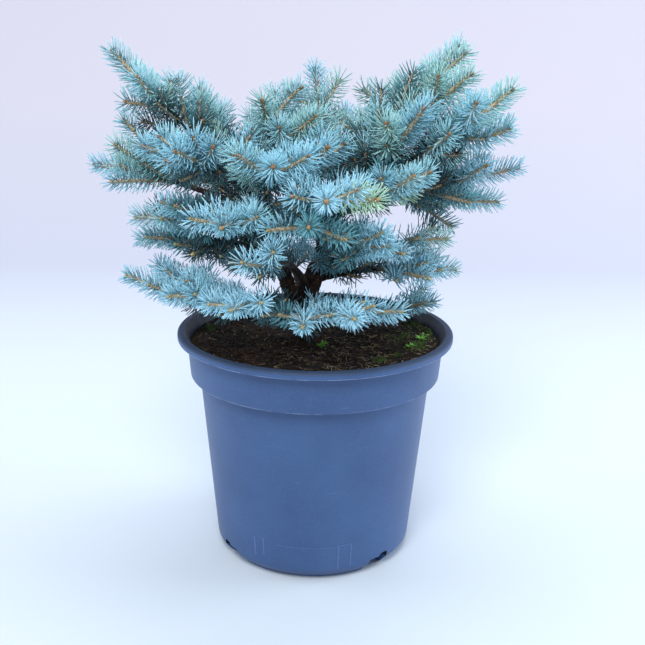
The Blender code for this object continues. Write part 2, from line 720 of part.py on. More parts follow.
def make_mass(bough, limbs, stems, shoots, space, material):
    """A stem and its shoots, joined into one closed solid by one union."""
    line, begins, total = stems[bough.name]
    group = bpy.data.collections.new("shoots_of_" + bough.name)
    bpy.context.scene.collection.children.link(group)
    body = None
    for index, (mass, twig, kind) in enumerate(shoots):
        if mass != bough.name:
            continue
        item = add_object(f"shoot_{index}", spray(mass, index, twig, kind, space), None)
        if body is None:
            body = item
        else:
            bpy.context.scene.collection.objects.unlink(item)
            group.objects.link(item)
    if not bough.limb:
        bare = cut_line(line, 0, begins + 0.004, BOUGH_STEP)
        radii = list(np.linspace(BOUGH_ROOT_RADIUS, STEM_ROOT_RADIUS, len(bare)))
        item = add_object("stem_root", tube(bare, radii, BOUGH_SIDES), None)
        cut_clear(item, limbs, bough.parent)
        bpy.context.scene.collection.objects.unlink(item)
        group.objects.link(item)
    union = body.modifiers.new("union", "BOOLEAN")
    union.operation = "UNION"
    union.operand_type = "COLLECTION"
    union.collection = group
    union.solver = "MANIFOLD"
    apply_modifiers(body)
    for item in list(group.objects):
        bpy.data.objects.remove(item, do_unlink=True)
    bpy.data.collections.remove(group)
    keep_largest_piece(body)
    body.name = "foliage_" + bough.name
    body.data.name = body.name
    body.data.materials.clear()
    body.data.materials.append(material)
    return body


def main():
    clear_scene()
    materials = {name: make_material(name) for name in COLOURS}
    make_pot(materials["pot"])
    make_soil(materials["soil"])
    limbs, stems, shoots = skeleton()
    make_limbs(limbs, materials["bark"])
    space = Space(limbs, shoots)
    for bough in BOUGHS:
        make_mass(bough, limbs, stems, shoots, space, materials["needles"])
    plant = bpy.data.objects.new("potted_spruce", None)
    bpy.context.scene.collection.objects.link(plant)
    for item in list(bpy.context.scene.collection.objects):
        if item is not plant and item.parent is None:
            item.parent = plant


main()
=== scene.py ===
# %% [markdown]
# # A potted dwarf blue spruce
#
# This lesson dresses a small conifer in its nursery pot. The solids that come with the part have the right
# sizes, but their needles are coarse spikes. Here each of them gets the surface of the real thing: moulded
# plastic, peat, bark, and some tens of thousands of needles. Lengths are in metres, +Z is up, the pot stands
# on the origin and -Y is the front.

# %% Load the frame
import math
import random
from collections import namedtuple

import bmesh
import bpy
import numpy as np
from mathutils import Matrix, Vector, noise


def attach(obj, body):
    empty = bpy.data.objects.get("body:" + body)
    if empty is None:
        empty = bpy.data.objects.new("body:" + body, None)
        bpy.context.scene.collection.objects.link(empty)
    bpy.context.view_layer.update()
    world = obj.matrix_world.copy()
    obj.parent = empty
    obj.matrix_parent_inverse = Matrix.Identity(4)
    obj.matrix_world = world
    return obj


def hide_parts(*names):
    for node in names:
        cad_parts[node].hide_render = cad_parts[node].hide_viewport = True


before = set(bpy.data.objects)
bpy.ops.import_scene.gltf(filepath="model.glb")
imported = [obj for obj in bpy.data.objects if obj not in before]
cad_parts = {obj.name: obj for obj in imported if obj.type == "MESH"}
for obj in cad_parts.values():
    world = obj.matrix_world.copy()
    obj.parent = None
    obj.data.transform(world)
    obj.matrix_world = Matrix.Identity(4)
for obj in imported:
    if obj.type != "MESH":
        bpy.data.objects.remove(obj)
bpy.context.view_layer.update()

# %% [markdown]
# ## Colours and nodes
#
# A screen colour such as #4F6EA6 is stored with a curve, and a shader wants plain light, so one function
# turns the one into the other. A second function adds one node to a material, with its settings and with
# the sockets that feed it. Real surfaces are never one colour: most are mottled, and many have a second
# colour over the first in places. Those two patterns come up again and again, so each has a function too.


# %% Helpers for materials
def linear(colour):
    """The linear red, green, blue and alpha of a #RRGGBB colour."""
    parts = [int(colour[i:i + 2], 16) / 255 for i in (1, 3, 5)]
    return (*(p / 12.92 if p <= 0.04045 else ((p + 0.055) / 1.055) ** 2.4 for p in parts), 1.0)


def main_output(source):
    """A socket as it is, or a node's main output, which is the third on a Mix node and the first on others."""
    if isinstance(source, bpy.types.NodeSocket):
        return source
    return source.outputs[2 if source.bl_idname == "ShaderNodeMix" else 0]


def add_node(material, kind, settings=None, links=None):
    """One node. Settings are properties, unlinked sockets or a ramp's stops, and links name sockets to feed."""
    made = material.node_tree.nodes.new("ShaderNode" + kind)
    for name, value in (settings or {}).items():
        if name == "stops":
            for _ in value[2:]:
                made.color_ramp.elements.new(0.5)
            for element, (position, colour) in zip(made.color_ramp.elements, value):
                element.position, element.color = position, linear(colour)
        elif isinstance(name, str) and hasattr(made, name):
            setattr(made, name, value)
        else:
            made.inputs[name].default_value = linear(value) if isinstance(value, str) else value
    for name, source in (links or {}).items():
        material.node_tree.links.new(main_output(source), made.inputs[name])
    return made


def new_finish(name, roughness, settings=None):
    """A material with its shader set to typical values, and the place on the object that its pattern reads."""
    material = bpy.data.materials.new(name)
    material.use_nodes = True
    for socket, value in {"Roughness": roughness, **(settings or {})}.items():
        material.node_tree.nodes["Principled BSDF"].inputs[socket].default_value = value
    return material, add_node(material, "TexCoord").outputs["Object"]


def feed(material, source, socket="Base Color"):
    """Links a source to one of the shader's own sockets."""
    shader = material.node_tree.nodes["Principled BSDF"]
    material.node_tree.links.new(main_output(source), shader.inputs[socket])


def laid_over(material, under, pattern, low, high, most, colour):
    """A second colour over the first. It comes in up to a share as the pattern goes from low to high."""
    mask = add_node(material, "MapRange", {"From Min": low, "From Max": high, "To Max": most}, {"Value": pattern})
    return add_node(material, "Mix", {"data_type": "RGBA", 7: colour}, {0: mask, 6: under})


def mottled_finish(name, roughness, pattern, stops, settings=None):
    """A material in the colours of a ramp's stops, dealt out by noise."""
    material, place = new_finish(name, roughness, settings)
    mottle = add_node(material, "TexNoise", pattern, {"Vector": place})
    feed(material, add_node(material, "ValToRGB", {"stops": stops}, {"Fac": mottle}))
    return material


# %% [markdown]
# ## Pieces
#
# Each finished piece is one mesh object at the origin, which rides on the part's only body and hides the
# solids it stands for. A bmesh becomes a piece through one function. Twigs, needles and crumbs come in
# thousands, so they are worked out as arrays of points and triangles, and become a piece through another.


# %% Helpers for pieces
def finish_piece(name, mesh, materials, nodes):
    """Makes a mesh a piece that rides on the body, replaces its nodes and has its materials."""
    for material in materials:
        mesh.materials.append(material)
    piece = bpy.data.objects.new(name, mesh)
    bpy.context.scene.collection.objects.link(piece)
    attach(piece, "root")
    if nodes:
        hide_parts(*nodes)
    print(name, sum(len(face.vertices) - 2 for face in mesh.polygons), "triangles")


def piece_from_bmesh(name, bm, materials, nodes=(), smooth_angle=None):
    mesh = bpy.data.meshes.new(name)
    bm.to_mesh(mesh)
    bm.free()
    if smooth_angle is not None:
        mesh.shade_smooth()
        mesh.set_sharp_from_angle(angle=math.radians(smooth_angle))
    finish_piece(name, mesh, materials, nodes)


def piece_from_arrays(name, points, triangles, material, nodes=(), tones=None):
    """A mesh from rows of points and of corner numbers, with a tone per point that its material may read."""
    points = np.ascontiguousarray(points, np.float32).reshape(-1, 3)
    mesh = bpy.data.meshes.new(name)
    mesh.vertices.add(len(points))
    mesh.vertices.foreach_set("co", points.ravel())
    mesh.loops.add(triangles.size)
    mesh.loops.foreach_set("vertex_index", np.ascontiguousarray(triangles, np.int32).ravel())
    mesh.polygons.add(len(triangles))
    mesh.polygons.foreach_set("loop_start", np.arange(0, triangles.size, 3, dtype=np.int32))
    mesh.update(calc_edges=True)
    mesh.shade_smooth()
    if tones is not None:
        mesh.attributes.new("tone", "FLOAT", "POINT").data.foreach_set("value", tones.astype(np.float32))
    finish_piece(name, mesh, [material], nodes)


# %% [markdown]
# ## The camera
#
# The camera stands 80 cm from the pot's axis, a little above the crown, and looks 17 degrees down. It comes
# first, so that every piece below can be judged from the right place.

# %% Camera
CAMERA_PLACE = Vector((0, -0.8031, 0.4397))
DOWN, RIGHT, TILT = 0.2943, 0.0073, 0.0157
SENSOR_WIDTH = 36
LENS_PER_WIDTH = 1000 / 645

looking = Vector((math.sin(RIGHT) * math.cos(DOWN), math.cos(RIGHT) * math.cos(DOWN), -math.sin(DOWN)))
level = Vector((math.cos(RIGHT), -math.sin(RIGHT), 0))
upright = level.cross(looking)
side = level * math.cos(TILT) + upright * math.sin(TILT)
top = upright * math.cos(TILT) - level * math.sin(TILT)
lens = bpy.data.cameras.new("camera")
lens.sensor_width = SENSOR_WIDTH
lens.lens = SENSOR_WIDTH * LENS_PER_WIDTH
camera = bpy.data.objects.new("camera", lens)
camera.matrix_world = Matrix.Translation(CAMERA_PLACE) @ Matrix((side, top, -looking)).transposed().to_4x4()
bpy.context.scene.collection.objects.link(camera)
bpy.context.scene.camera = camera
print("lens", round(lens.lens, 1), "mm")

# %% [markdown]
# ## The pot's shell
#
# The real pot is injection moulded: a thin tapered wall, a collar with a step below it, and a rolled rim. A
# mould like that is a turned shape, so the pot is one profile spun round the Z axis. The profile has plain
# corners, and the ring edges are bevelled after the spin: wide on the rolled rim, narrow at the step and
# the foot, because no moulded edge is sharp.

# %% Pot sizes
POT_HEIGHT = 0.192
RIM_RADIUS, RIM_INNER_RADIUS, RIM_DEPTH = 0.115, 0.1086, 0.006
COLLAR_TOP_RADIUS, COLLAR_BOTTOM_RADIUS = 0.1072, 0.1045
STEP_Z, STEP_SLOPE = 0.155, 0.001
BODY_TOP_RADIUS = 0.0969
CHAMFER_RADIUS, CHAMFER_HEIGHT = 0.0835, 0.0095
FOOT_RADIUS = 0.0745
WALL = 0.0024
THICK_EDGE_RADIUS, THICK_EDGE_HEIGHT = 0.0665, 0.018
UNDER_RIM = POT_HEIGHT - RIM_DEPTH

POT_PROFILE = (
    (0, WALL),
    (THICK_EDGE_RADIUS, WALL),
    (CHAMFER_RADIUS - WALL, THICK_EDGE_HEIGHT),
    (BODY_TOP_RADIUS - WALL, STEP_Z),
    (COLLAR_BOTTOM_RADIUS - WALL, STEP_Z + 0.003),
    (COLLAR_TOP_RADIUS - WALL, UNDER_RIM),
    (RIM_INNER_RADIUS, POT_HEIGHT),
    (RIM_RADIUS, POT_HEIGHT),
    (RIM_RADIUS, UNDER_RIM),
    (COLLAR_TOP_RADIUS, UNDER_RIM),
    (COLLAR_BOTTOM_RADIUS, STEP_Z),
    (BODY_TOP_RADIUS, STEP_Z - STEP_SLOPE),
    (CHAMFER_RADIUS, CHAMFER_HEIGHT),
    (FOOT_RADIUS, 0),
    (0, 0),
)
ROUNDED_EDGES = (
    (RIM_RADIUS, POT_HEIGHT, 0.0024),
    (RIM_RADIUS, UNDER_RIM, 0.0009),
    (RIM_INNER_RADIUS, POT_HEIGHT, 0.0009),
    (COLLAR_BOTTOM_RADIUS, STEP_Z, 0.0009),
    (BODY_TOP_RADIUS, STEP_Z - STEP_SLOPE, 0.0012),
    (CHAMFER_RADIUS, CHAMFER_HEIGHT, 0.0016),
    (FOOT_RADIUS, 0, 0.0008),
)


# %% Spin a profile
def spin_profile(profile, steps):
    """A bmesh spun once round Z from (radius, height) pairs that start and end on the axis."""
    bm = bmesh.new()
    verts = [bm.verts.new((radius, 0, height)) for radius, height in profile]
    edges = [bm.edges.new(pair) for pair in zip(verts, verts[1:])]
    bmesh.ops.spin(bm, geom=verts + edges, cent=(0, 0, 0), axis=(0, 0, 1),
                   angle=2 * math.pi, steps=steps, use_merge=True)
    bmesh.ops.remove_doubles(bm, verts=bm.verts[:], dist=1e-6)
    bmesh.ops.recalc_face_normals(bm, faces=bm.faces[:])
    return bm


def ring_edges(bm, radius, height):
    """The edges of the ring at one corner of the profile."""
    return [edge for edge in bm.edges if all(
        abs(math.hypot(v.co.x, v.co.y) - radius) < 2e-4 and abs(v.co.z - height) < 2e-5 for v in edge.verts)]


def round_off(bm, edges, width, segments):
    bmesh.ops.bevel(bm, geom=edges, offset=width, segments=segments, profile=0.5, affect="EDGES", material=-1)


pot_bm = spin_profile(POT_PROFILE, 192)
for radius, height, width in ROUNDED_EDGES:
    round_off(pot_bm, ring_edges(pot_bm, radius, height), width, 4)
print("pot faces", len(pot_bm.faces))

# %% [markdown]
# ## Feet and drainage
#
# Water leaves a nursery pot at its bottom corner, and the foot is notched there so that it can run away.
# Each notch is a wide block that slopes in at the top, with rounded upper edges, and at one end of it a
# smaller block sinks the drainage hole. Both are cut from the shell with a Boolean. The hole's faces get a
# nearly black finish: painted shade for the dark inside of the hole.

# %% Notch cutters
NOTCH_AZIMUTHS = (35, 131, 215, 311)
NOTCH_WIDTH, NOTCH_HEIGHT, NOTCH_REACH, NOTCH_SLOPE = 0.021, 0.0125, 0.0670, 0.0096
HOLE_WIDTH, HOLE_LOW, HOLE_HIGH, HOLE_REACH, HOLE_SHIFT = 0.0090, 0.0085, 0.0148, 0.0788, 0.0058
BLOCK_DEPTH = 0.03


def helper_object(name, bm):
    """A plain object that isn't a piece of the plant: a cutter, a body to be cut or fused, or the floor."""
    mesh = bpy.data.meshes.new(name)
    bm.to_mesh(mesh)
    bm.free()
    item = bpy.data.objects.new(name, mesh)
    bpy.context.scene.collection.objects.link(item)
    return item


def turned(degrees):
    return Matrix.Rotation(math.radians(degrees), 3, "Z")


def hole_side(azimuth):
    """The end of a notch at which its hole is: the one further from the middle of the front or the back."""
    return -1 if azimuth in (215, 35) else 1


def cutting_blocks(name, width, low, high, reach, slope, shift, rounding):
    """Four blocks round the foot that start at that reach from the axis, with rounded upper edges."""
    bm = bmesh.new()
    for azimuth in NOTCH_AZIMUTHS:
        block = bmesh.ops.create_cube(bm, size=1.0)["verts"]
        bmesh.ops.scale(bm, vec=(BLOCK_DEPTH, width, high - low), verts=block)
        middle = (reach + BLOCK_DEPTH / 2, hole_side(azimuth) * shift, (low + high) / 2)
        bmesh.ops.translate(bm, vec=middle, verts=block)
        for vert in block:
            if vert.co.z > low + 1e-4 and vert.co.x < reach + 0.01:
                vert.co.x += slope
        bmesh.ops.rotate(bm, cent=(0, 0, 0), matrix=turned(azimuth), verts=block)
    upper = [edge for edge in bm.edges
             if abs(edge.calc_length() - width) > 1e-4 and min(v.co.z for v in edge.verts) > high - 1e-4]
    round_off(bm, upper, rounding, 5)
    return helper_object(name, bm)


notches = cutting_blocks("notches", NOTCH_WIDTH, -0.001, NOTCH_HEIGHT, NOTCH_REACH, NOTCH_SLOPE, 0, 0.0035)
holes = cutting_blocks("holes", HOLE_WIDTH, HOLE_LOW, HOLE_HIGH, HOLE_REACH, 0, HOLE_SHIFT, 0.002)


# %% Cut the pot
def applied(item):
    """The mesh that an object's modifiers make, as a bmesh. The object is then removed."""
    graph = bpy.context.evaluated_depsgraph_get()
    mesh = bpy.data.meshes.new_from_object(item.evaluated_get(graph))
    bm = bmesh.new()
    bm.from_mesh(mesh)
    bpy.data.objects.remove(item, do_unlink=True)
    bpy.data.meshes.remove(mesh)
    return bm


shell = helper_object("shell", pot_bm)
for blocks in (notches, holes):
    cut = shell.modifiers.new(blocks.name, "BOOLEAN")
    cut.operation, cut.solver, cut.object = "DIFFERENCE", "MANIFOLD", blocks
pot_bm = applied(shell)
for blocks in (notches, holes):
    bpy.data.objects.remove(blocks, do_unlink=True)
print("pot faces after the cuts", len(pot_bm.faces), "volume", round(pot_bm.calc_volume() * 1e6, 1), "cm3")

# %% Sort the pot's faces
STAINED_AND_SHADED, HOLE = 1, 2
HOLE_END = 0.0828
EDGE_OF_FLOOR = 0.066


def in_hole(spot):
    """Whether a point lies in one of the drainage holes, behind the outer face of the wall."""
    for azimuth in NOTCH_AZIMUTHS:
        local = turned(-azimuth) @ spot
        across = local.y - hole_side(azimuth) * HOLE_SHIFT
        if abs(across) < HOLE_WIDTH / 2 + 2e-4 and HOLE_REACH - 2e-4 < local.x < HOLE_END and spot.z > HOLE_LOW:
            return spot.z < HOLE_HIGH + 2e-4
    return False


for face in pot_bm.faces:
    middle = face.calc_center_median()
    reach = math.hypot(middle.x, middle.y)
    faces_axis = face.normal.x * middle.x + face.normal.y * middle.y < -1e-4 * reach
    # Faces in a hole take a black finish, painted shade for the dark inside of the hole.
    if in_hole(middle):
        face.material_index = HOLE
    # Faces towards the axis, above the floor, take the peat-stained finish darkened with painted shade.
    elif faces_axis and middle.z > 0.004 and reach > EDGE_OF_FLOOR:
        face.material_index = STAINED_AND_SHADED
print("stained faces", sum(face.material_index == STAINED_AND_SHADED for face in pot_bm.faces),
      "hole faces", sum(face.material_index == HOLE for face in pot_bm.faces))

# %% [markdown]
# ## The pot's finish
#
# The pot is polypropylene from a spark-eroded mould: matt, with a grain of a few tenths of a millimetre and
# a slight sheen at glancing angles. Its blue is cloudy, dust sits on it in specks, and handling leaves pale
# scuffs that run round the wall. The lower edges of collar and rim carry a broken pale line, a painted
# highlight along each edge with some wear in it, and the top of the rim is darkened with painted shade from
# the crown. The height on the pot decides where these last two show.

# %% Polypropylene
MOULDED = {"IOR": 1.49}
# Height, half width and strength of each pale edge line: a painted highlight, with some wear.
EDGE_HIGHLIGHTS_AND_WEAR = ((STEP_Z + 0.0004, 0.0008, 0.62), (UNDER_RIM + 0.0004, 0.0007, 0.75))
# Heights over which the top of the rim is darkened with painted shade from the crown.
RIM_SHADE_FROM, RIM_SHADE_TO = POT_HEIGHT - 0.0032, POT_HEIGHT - 0.0008

# Cloudy grey blue and matt, with scuffs, specks of dust, painted edge highlights with wear, and painted shade on the
# rim.
plastic, place = new_finish("polypropylene_matt_blue", 0.42, MOULDED)
height = add_node(plastic, "SeparateXYZ", links={"Vector": place}).outputs["Z"]
# Noise squeezed fourteen times along Z runs round the wall, as scuffs do.
round_wall = add_node(plastic, "Mapping", {"Scale": (1.0, 1.0, 14.0)}, {"Vector": place})
patches, fine, scuffs, edge_breakup_noise, grain = (
    add_node(plastic, "TexNoise", {"Scale": scale, "Detail": detail, "Roughness": roughness}, {"Vector": where})
    for scale, detail, roughness, where in (
        (16.0, 4.0, 0.5, place), (850.0, 3.0, 0.7, place), (60.0, 6.0, 0.75, round_wall),
        (48.0, 5.0, 0.7, place), (1400.0, 2.0, 0.5, place)))
tint = add_node(plastic, "ValToRGB", {"stops": ((0.34, "#2F4D7A"), (0.70, "#3B5B8A"))}, {"Fac": patches})
tint = laid_over(plastic, tint, fine, 0.42, 0.72, 0.15, "#6A86B4")
tint = laid_over(plastic, tint, scuffs, 0.60, 0.78, 0.45, "#7C95BD")
# The painted highlight with its wear is pale within a millimetre of an edge, and only where broad noise lets it be.
highlight_and_wear_mask = add_node(plastic, "MapRange", {"From Min": 0.40, "From Max": 0.64}, {"Value": edge_breakup_noise})
for edge_height, half_width, most in EDGE_HIGHLIGHTS_AND_WEAR:
    from_edge = add_node(plastic, "Math", {"operation": "SUBTRACT", 1: edge_height}, {0: height})
    gap = add_node(plastic, "Math", {"operation": "ABSOLUTE"}, {0: from_edge})
    band = add_node(plastic, "MapRange", {"From Min": half_width, "From Max": half_width * 0.4, "To Max": most},
                    {"Value": gap})
    highlight_and_wear = add_node(plastic, "Math", {"operation": "MULTIPLY"}, {0: band, 1: highlight_and_wear_mask})
    tint = add_node(plastic, "Mix", {"data_type": "RGBA", 7: "#8FA3C6"}, {0: highlight_and_wear, 6: tint})
dust = add_node(plastic, "TexVoronoi", {"Scale": 42.0}, {"Vector": place})
tint = laid_over(plastic, tint, dust, 0.022, 0.012, 0.7, "#B4C4DD")
# Painted shade: the top of the rim is darkened towards a deep navy where the crown shades it.
feed(plastic, laid_over(plastic, tint, height, RIM_SHADE_FROM, RIM_SHADE_TO, 0.8, "#1E2D40"))
# The sheen varies with the clouds of the colour, and the top of the rim is duller.
shine = add_node(plastic, "MapRange", {"To Min": 0.40, "To Max": 0.54}, {"Value": patches})
matt_rim = add_node(plastic, "MapRange", {"From Min": RIM_SHADE_FROM, "From Max": RIM_SHADE_TO, "To Max": 0.24},
                    {"Value": height})
feed(plastic, add_node(plastic, "Math", {"operation": "ADD"}, {0: shine, 1: matt_rim}), "Roughness")
feed(plastic, add_node(plastic, "Bump", {"Strength": 0.15, "Distance": 0.0002}, {"Height": grain}), "Normal")

# %% Stained and shaded inside, and painted shade in the holes
# The inside is the same plastic under a film of peat, darkened nearly to black with painted shade. The faces
# of the holes are blacker still, painted shade for the dark inside of each hole.
stained_and_shaded_inside = mottled_finish("polypropylene_peat_stained", 0.55, {"Scale": 70.0, "Detail": 6.0, "Roughness": 0.7},
                                ((0.38, "#0D1218"), (0.70, "#26374F")), MOULDED)
drain_hole_shade = mottled_finish("wet_peat_behind_hole", 0.9, {"Scale": 900.0}, ((0, "#040405"), (1, "#100D0B")))
piece_from_bmesh("nursery_pot", pot_bm, [plastic, stained_and_shaded_inside, drain_hole_shade], ["pot"], 32)

# %% [markdown]
# ## Mould marks
#
# Low on the wall the mould left a few raised lines: a small frame, a line beside it and two short upright
# ones. Each is a strip a fifth of a millimetre proud. A strip that follows a turned wall is a small
# profile spun through part of a turn, so they use the spin operator again, with fewer steps.

# %% Raised lines
PROUD, SUNK = 0.00018, 0.0008
FRAME_MARKS = ((284.0, 284.7, 0.0110, 0.0330), (291.2, 291.9, 0.0130, 0.0330), (284.0, 291.9, 0.0330, 0.0336))
FRONT_MARKS = ((250.0, 283.4, 0.0318, 0.0322), (236.0, 236.8, 0.0180, 0.0350), (241.7, 242.4, 0.0200, 0.0360))
BACK_MARKS = tuple((azimuth_a - 220, azimuth_b - 220, *heights) for azimuth_a, azimuth_b, *heights in FRAME_MARKS)


def raised_line(bm, azimuth_a, azimuth_b, low, high):
    """A strip that follows the wall between two azimuths in degrees and two heights."""
    wall = np.interp([low, high], [0, CHAMFER_HEIGHT, STEP_Z], [FOOT_RADIUS, CHAMFER_RADIUS, BODY_TOP_RADIUS])
    outer = list(zip(wall + PROUD, (low, high)))
    inner = [(radius - SUNK, height) for radius, height in reversed(outer)]
    verts = [bm.verts.new(turned(azimuth_a) @ Vector((radius, 0, height))) for radius, height in outer + inner]
    bmesh.ops.spin(bm, geom=[bm.faces.new(verts)], cent=(0, 0, 0), axis=(0, 0, 1),
                   angle=math.radians(azimuth_b - azimuth_a), steps=max(1, round(azimuth_b - azimuth_a)))


mark_bm = bmesh.new()
for mark in FRAME_MARKS + FRONT_MARKS + BACK_MARKS:
    raised_line(mark_bm, *mark)
bmesh.ops.recalc_face_normals(mark_bm, faces=mark_bm.faces[:])
# The same plastic, polished by handling, and paler than the wall: a painted highlight, so that the lines catch a
# little more light.
mark_finish = mottled_finish("polypropylene_raised_marks", 0.40, {"Scale": 700.0},
                             ((0, "#3B5988"), (1, "#5F7CAD")), MOULDED)
piece_from_bmesh("pot_mould_marks", mark_bm, [mark_finish])

# %% [markdown]
# ## The peat
#
# The root ball is a block of moist peat, uneven on top and pushed up a little round the trunk. Its profile
# is spun as the pot's was, but with rings about a millimetre apart on top, so that noise can lift and sink
# them into real lumps. Broad noise gives the hollows, and finer noise the clods.

# %% Soil body
SOIL_TOP, SOIL_EDGE = 0.178, 0.1036
SOIL_SIDE = [(0, 0.0030), (0.0656, 0.0030), (0.0805, 0.0185), (0.0940, 0.1545), (0.1014, 0.1586),
             (0.1032, SOIL_TOP - 0.006)]
TRUNK_FOOT = Vector((-0.0070, 0.003, 0))
RIGHT_HEAP, LEFT_HEAP, MOUND, LIP = 0.0068, 0.0062, 0.0022, 0.0020


def soil_tilt(x, y):
    """The broad lie of the peat, which is heaped against the wall at the right, the back and the left."""
    right = np.clip((x + 0.35 * y - 0.012) / 0.075, 0, 1) ** 1.5
    left = np.clip((-x + 0.15 * y - 0.045) / 0.055, 0, 1) ** 1.5
    return SOIL_TOP + 0.0002 + RIGHT_HEAP * right + LEFT_HEAP * left


def soil_height(x, y):
    """The height of the peat's surface."""
    spot = Vector((x, y, 0))
    broad = noise.noise(spot * 42) * 0.0020
    near, _ = noise.voronoi(spot * 170 + Vector((0, 0, 4)))
    clods = min(1.0, (near[1] - near[0]) * 1.6) * 0.0016 + noise.fractal(spot * 210, 0.8, 2.2, 4) * 0.0009 - 0.0008
    mound = MOUND * math.exp(-((spot - TRUNK_FOOT).length / 0.024) ** 2)
    lip = LIP * max(0.0, (math.hypot(x, y) - 0.090) / 0.014) ** 2
    return soil_tilt(x, y) + broad + clods + mound - lip


soil_bm = spin_profile(SOIL_SIDE + [(reach, SOIL_TOP) for reach in np.linspace(SOIL_EDGE, 0, 84)], 260)
for vert in soil_bm.verts:
    if vert.co.z > SOIL_TOP - 1e-4:
        vert.co.z = soil_height(vert.co.x, vert.co.y)
print("peat vertices", len(soil_bm.verts))

# %% Peat finish
# Nearly black and dull, with browner clods and a few rusty patches.
peat, place = new_finish("moist_peat", 0.93, {"IOR": 1.40})
lumps = add_node(peat, "TexNoise", {"Scale": 260.0, "Detail": 6.0, "Roughness": 0.7}, {"Vector": place})
rust = add_node(peat, "TexNoise", {"Scale": 34.0, "Detail": 3.0}, {"Vector": place})
tint = add_node(peat, "ValToRGB", {"stops": ((0.38, "#060404"), (0.72, "#2A1D14"))}, {"Fac": lumps})
feed(peat, laid_over(peat, tint, rust, 0.52, 0.66, 0.6, "#3B2818"))
feed(peat, add_node(peat, "Bump", {"Strength": 0.9, "Distance": 0.0008}, {"Height": lumps}), "Normal")
piece_from_bmesh("peat", soil_bm, [peat], ["soil"], 180)

# %% [markdown]
# ## Crumbs, fibres and litter
#
# Peat is never smooth: crumbs of one to three millimetres lie on it, with pale fibres, dead needles and bits
# of bark. Each kind is one small shape repeated at random places, sizes and turns. The crumbs start from a
# twenty-sided ball whose corners are pushed in and out, and the fibres from a bent strip with three sides.


# %% Many copies of one shape
def random_turns(rng, count):
    """Even random rotations, as matrices."""
    q = rng.normal(size=(count, 4))
    w, x, y, z = (q / np.linalg.norm(q, axis=1)[:, None]).T
    return np.array([
        [1 - 2 * (y * y + z * z), 2 * (x * y - z * w), 2 * (x * z + y * w)],
        [2 * (x * y + z * w), 1 - 2 * (x * x + z * z), 2 * (y * z - x * w)],
        [2 * (x * z - y * w), 2 * (y * z + x * w), 1 - 2 * (x * x + y * y)],
    ]).transpose(2, 0, 1)


def shape_of(bm):
    """A bmesh's points and triangles as arrays."""
    bmesh.ops.triangulate(bm, faces=bm.faces[:])
    bm.verts.index_update()
    points = np.array([vert.co for vert in bm.verts])
    triangles = np.array([[vert.index for vert in face.verts] for face in bm.faces])
    bm.free()
    return points, triangles


def repeated(triangles, corner_count, copies):
    """The same triangles for every copy of a shape with that many points."""
    return (triangles[None] + np.arange(copies)[:, None, None] * corner_count).reshape(-1, 3)


def on_soil(spots):
    """Places on the peat from rows of x and y."""
    return np.column_stack([spots, [soil_height(x, y) for x, y in spots]])


def spots_on_soil(rng, count, reach=0.1015):
    """Random places on the peat."""
    away = reach * np.sqrt(rng.uniform(0.0, 1.0, count))
    angle = rng.uniform(0, 2 * math.pi, count)
    return on_soil(np.column_stack([away * np.cos(angle), away * np.sin(angle)]))


# %% Crumbs
CRUMB_COUNT = 2600

ball_bm = bmesh.new()
bmesh.ops.create_icosphere(ball_bm, subdivisions=1, radius=1.0)
ball, ball_triangles = shape_of(ball_bm)


def scatter_balls(name, rng, sizes, dents, squash, lift, material):
    """Small balls on the peat, each dented and squashed in its own way."""
    count = len(sizes)
    lumps = ball[None] * rng.uniform(*dents, (count, len(ball), 1))
    if squash:
        lumps = lumps * rng.uniform(*squash, (count, 1, 3))
    lumps = np.einsum("nij,nkj->nki", random_turns(rng, count), lumps) * sizes[:, None, None]
    spots = spots_on_soil(rng, count)
    spots[:, 2] += lift
    piece_from_arrays(name, lumps + spots[:, None], repeated(ball_triangles, len(ball), count), material)


# Dull crumbs, most of them nearly black and some as pale as dry peat.
crumb_finish = mottled_finish("peat_crumbs", 0.92, {"Scale": 62.0, "Detail": 7.0, "Roughness": 0.75},
                              ((0.40, "#060403"), (0.72, "#55412A")))
crumb_rng = np.random.default_rng(5)
crumb_sizes = 0.00042 + 0.0011 * crumb_rng.uniform(0, 1, CRUMB_COUNT) ** 2.6
scatter_balls("peat_crumbs", crumb_rng, crumb_sizes, (0.55, 1.25), (0.6, 1.3), crumb_sizes * 0.35, crumb_finish)

# %% [markdown]
# ## Bent strips
#
# Fibres, dead needles, moss shoots and small leaves are all the same thing at heart: a thin strip with a
# few sides that bends and comes to a point. One function makes any number of them at once from arrays of
# roots, middles and tips, and it makes the spruce's own needles too.


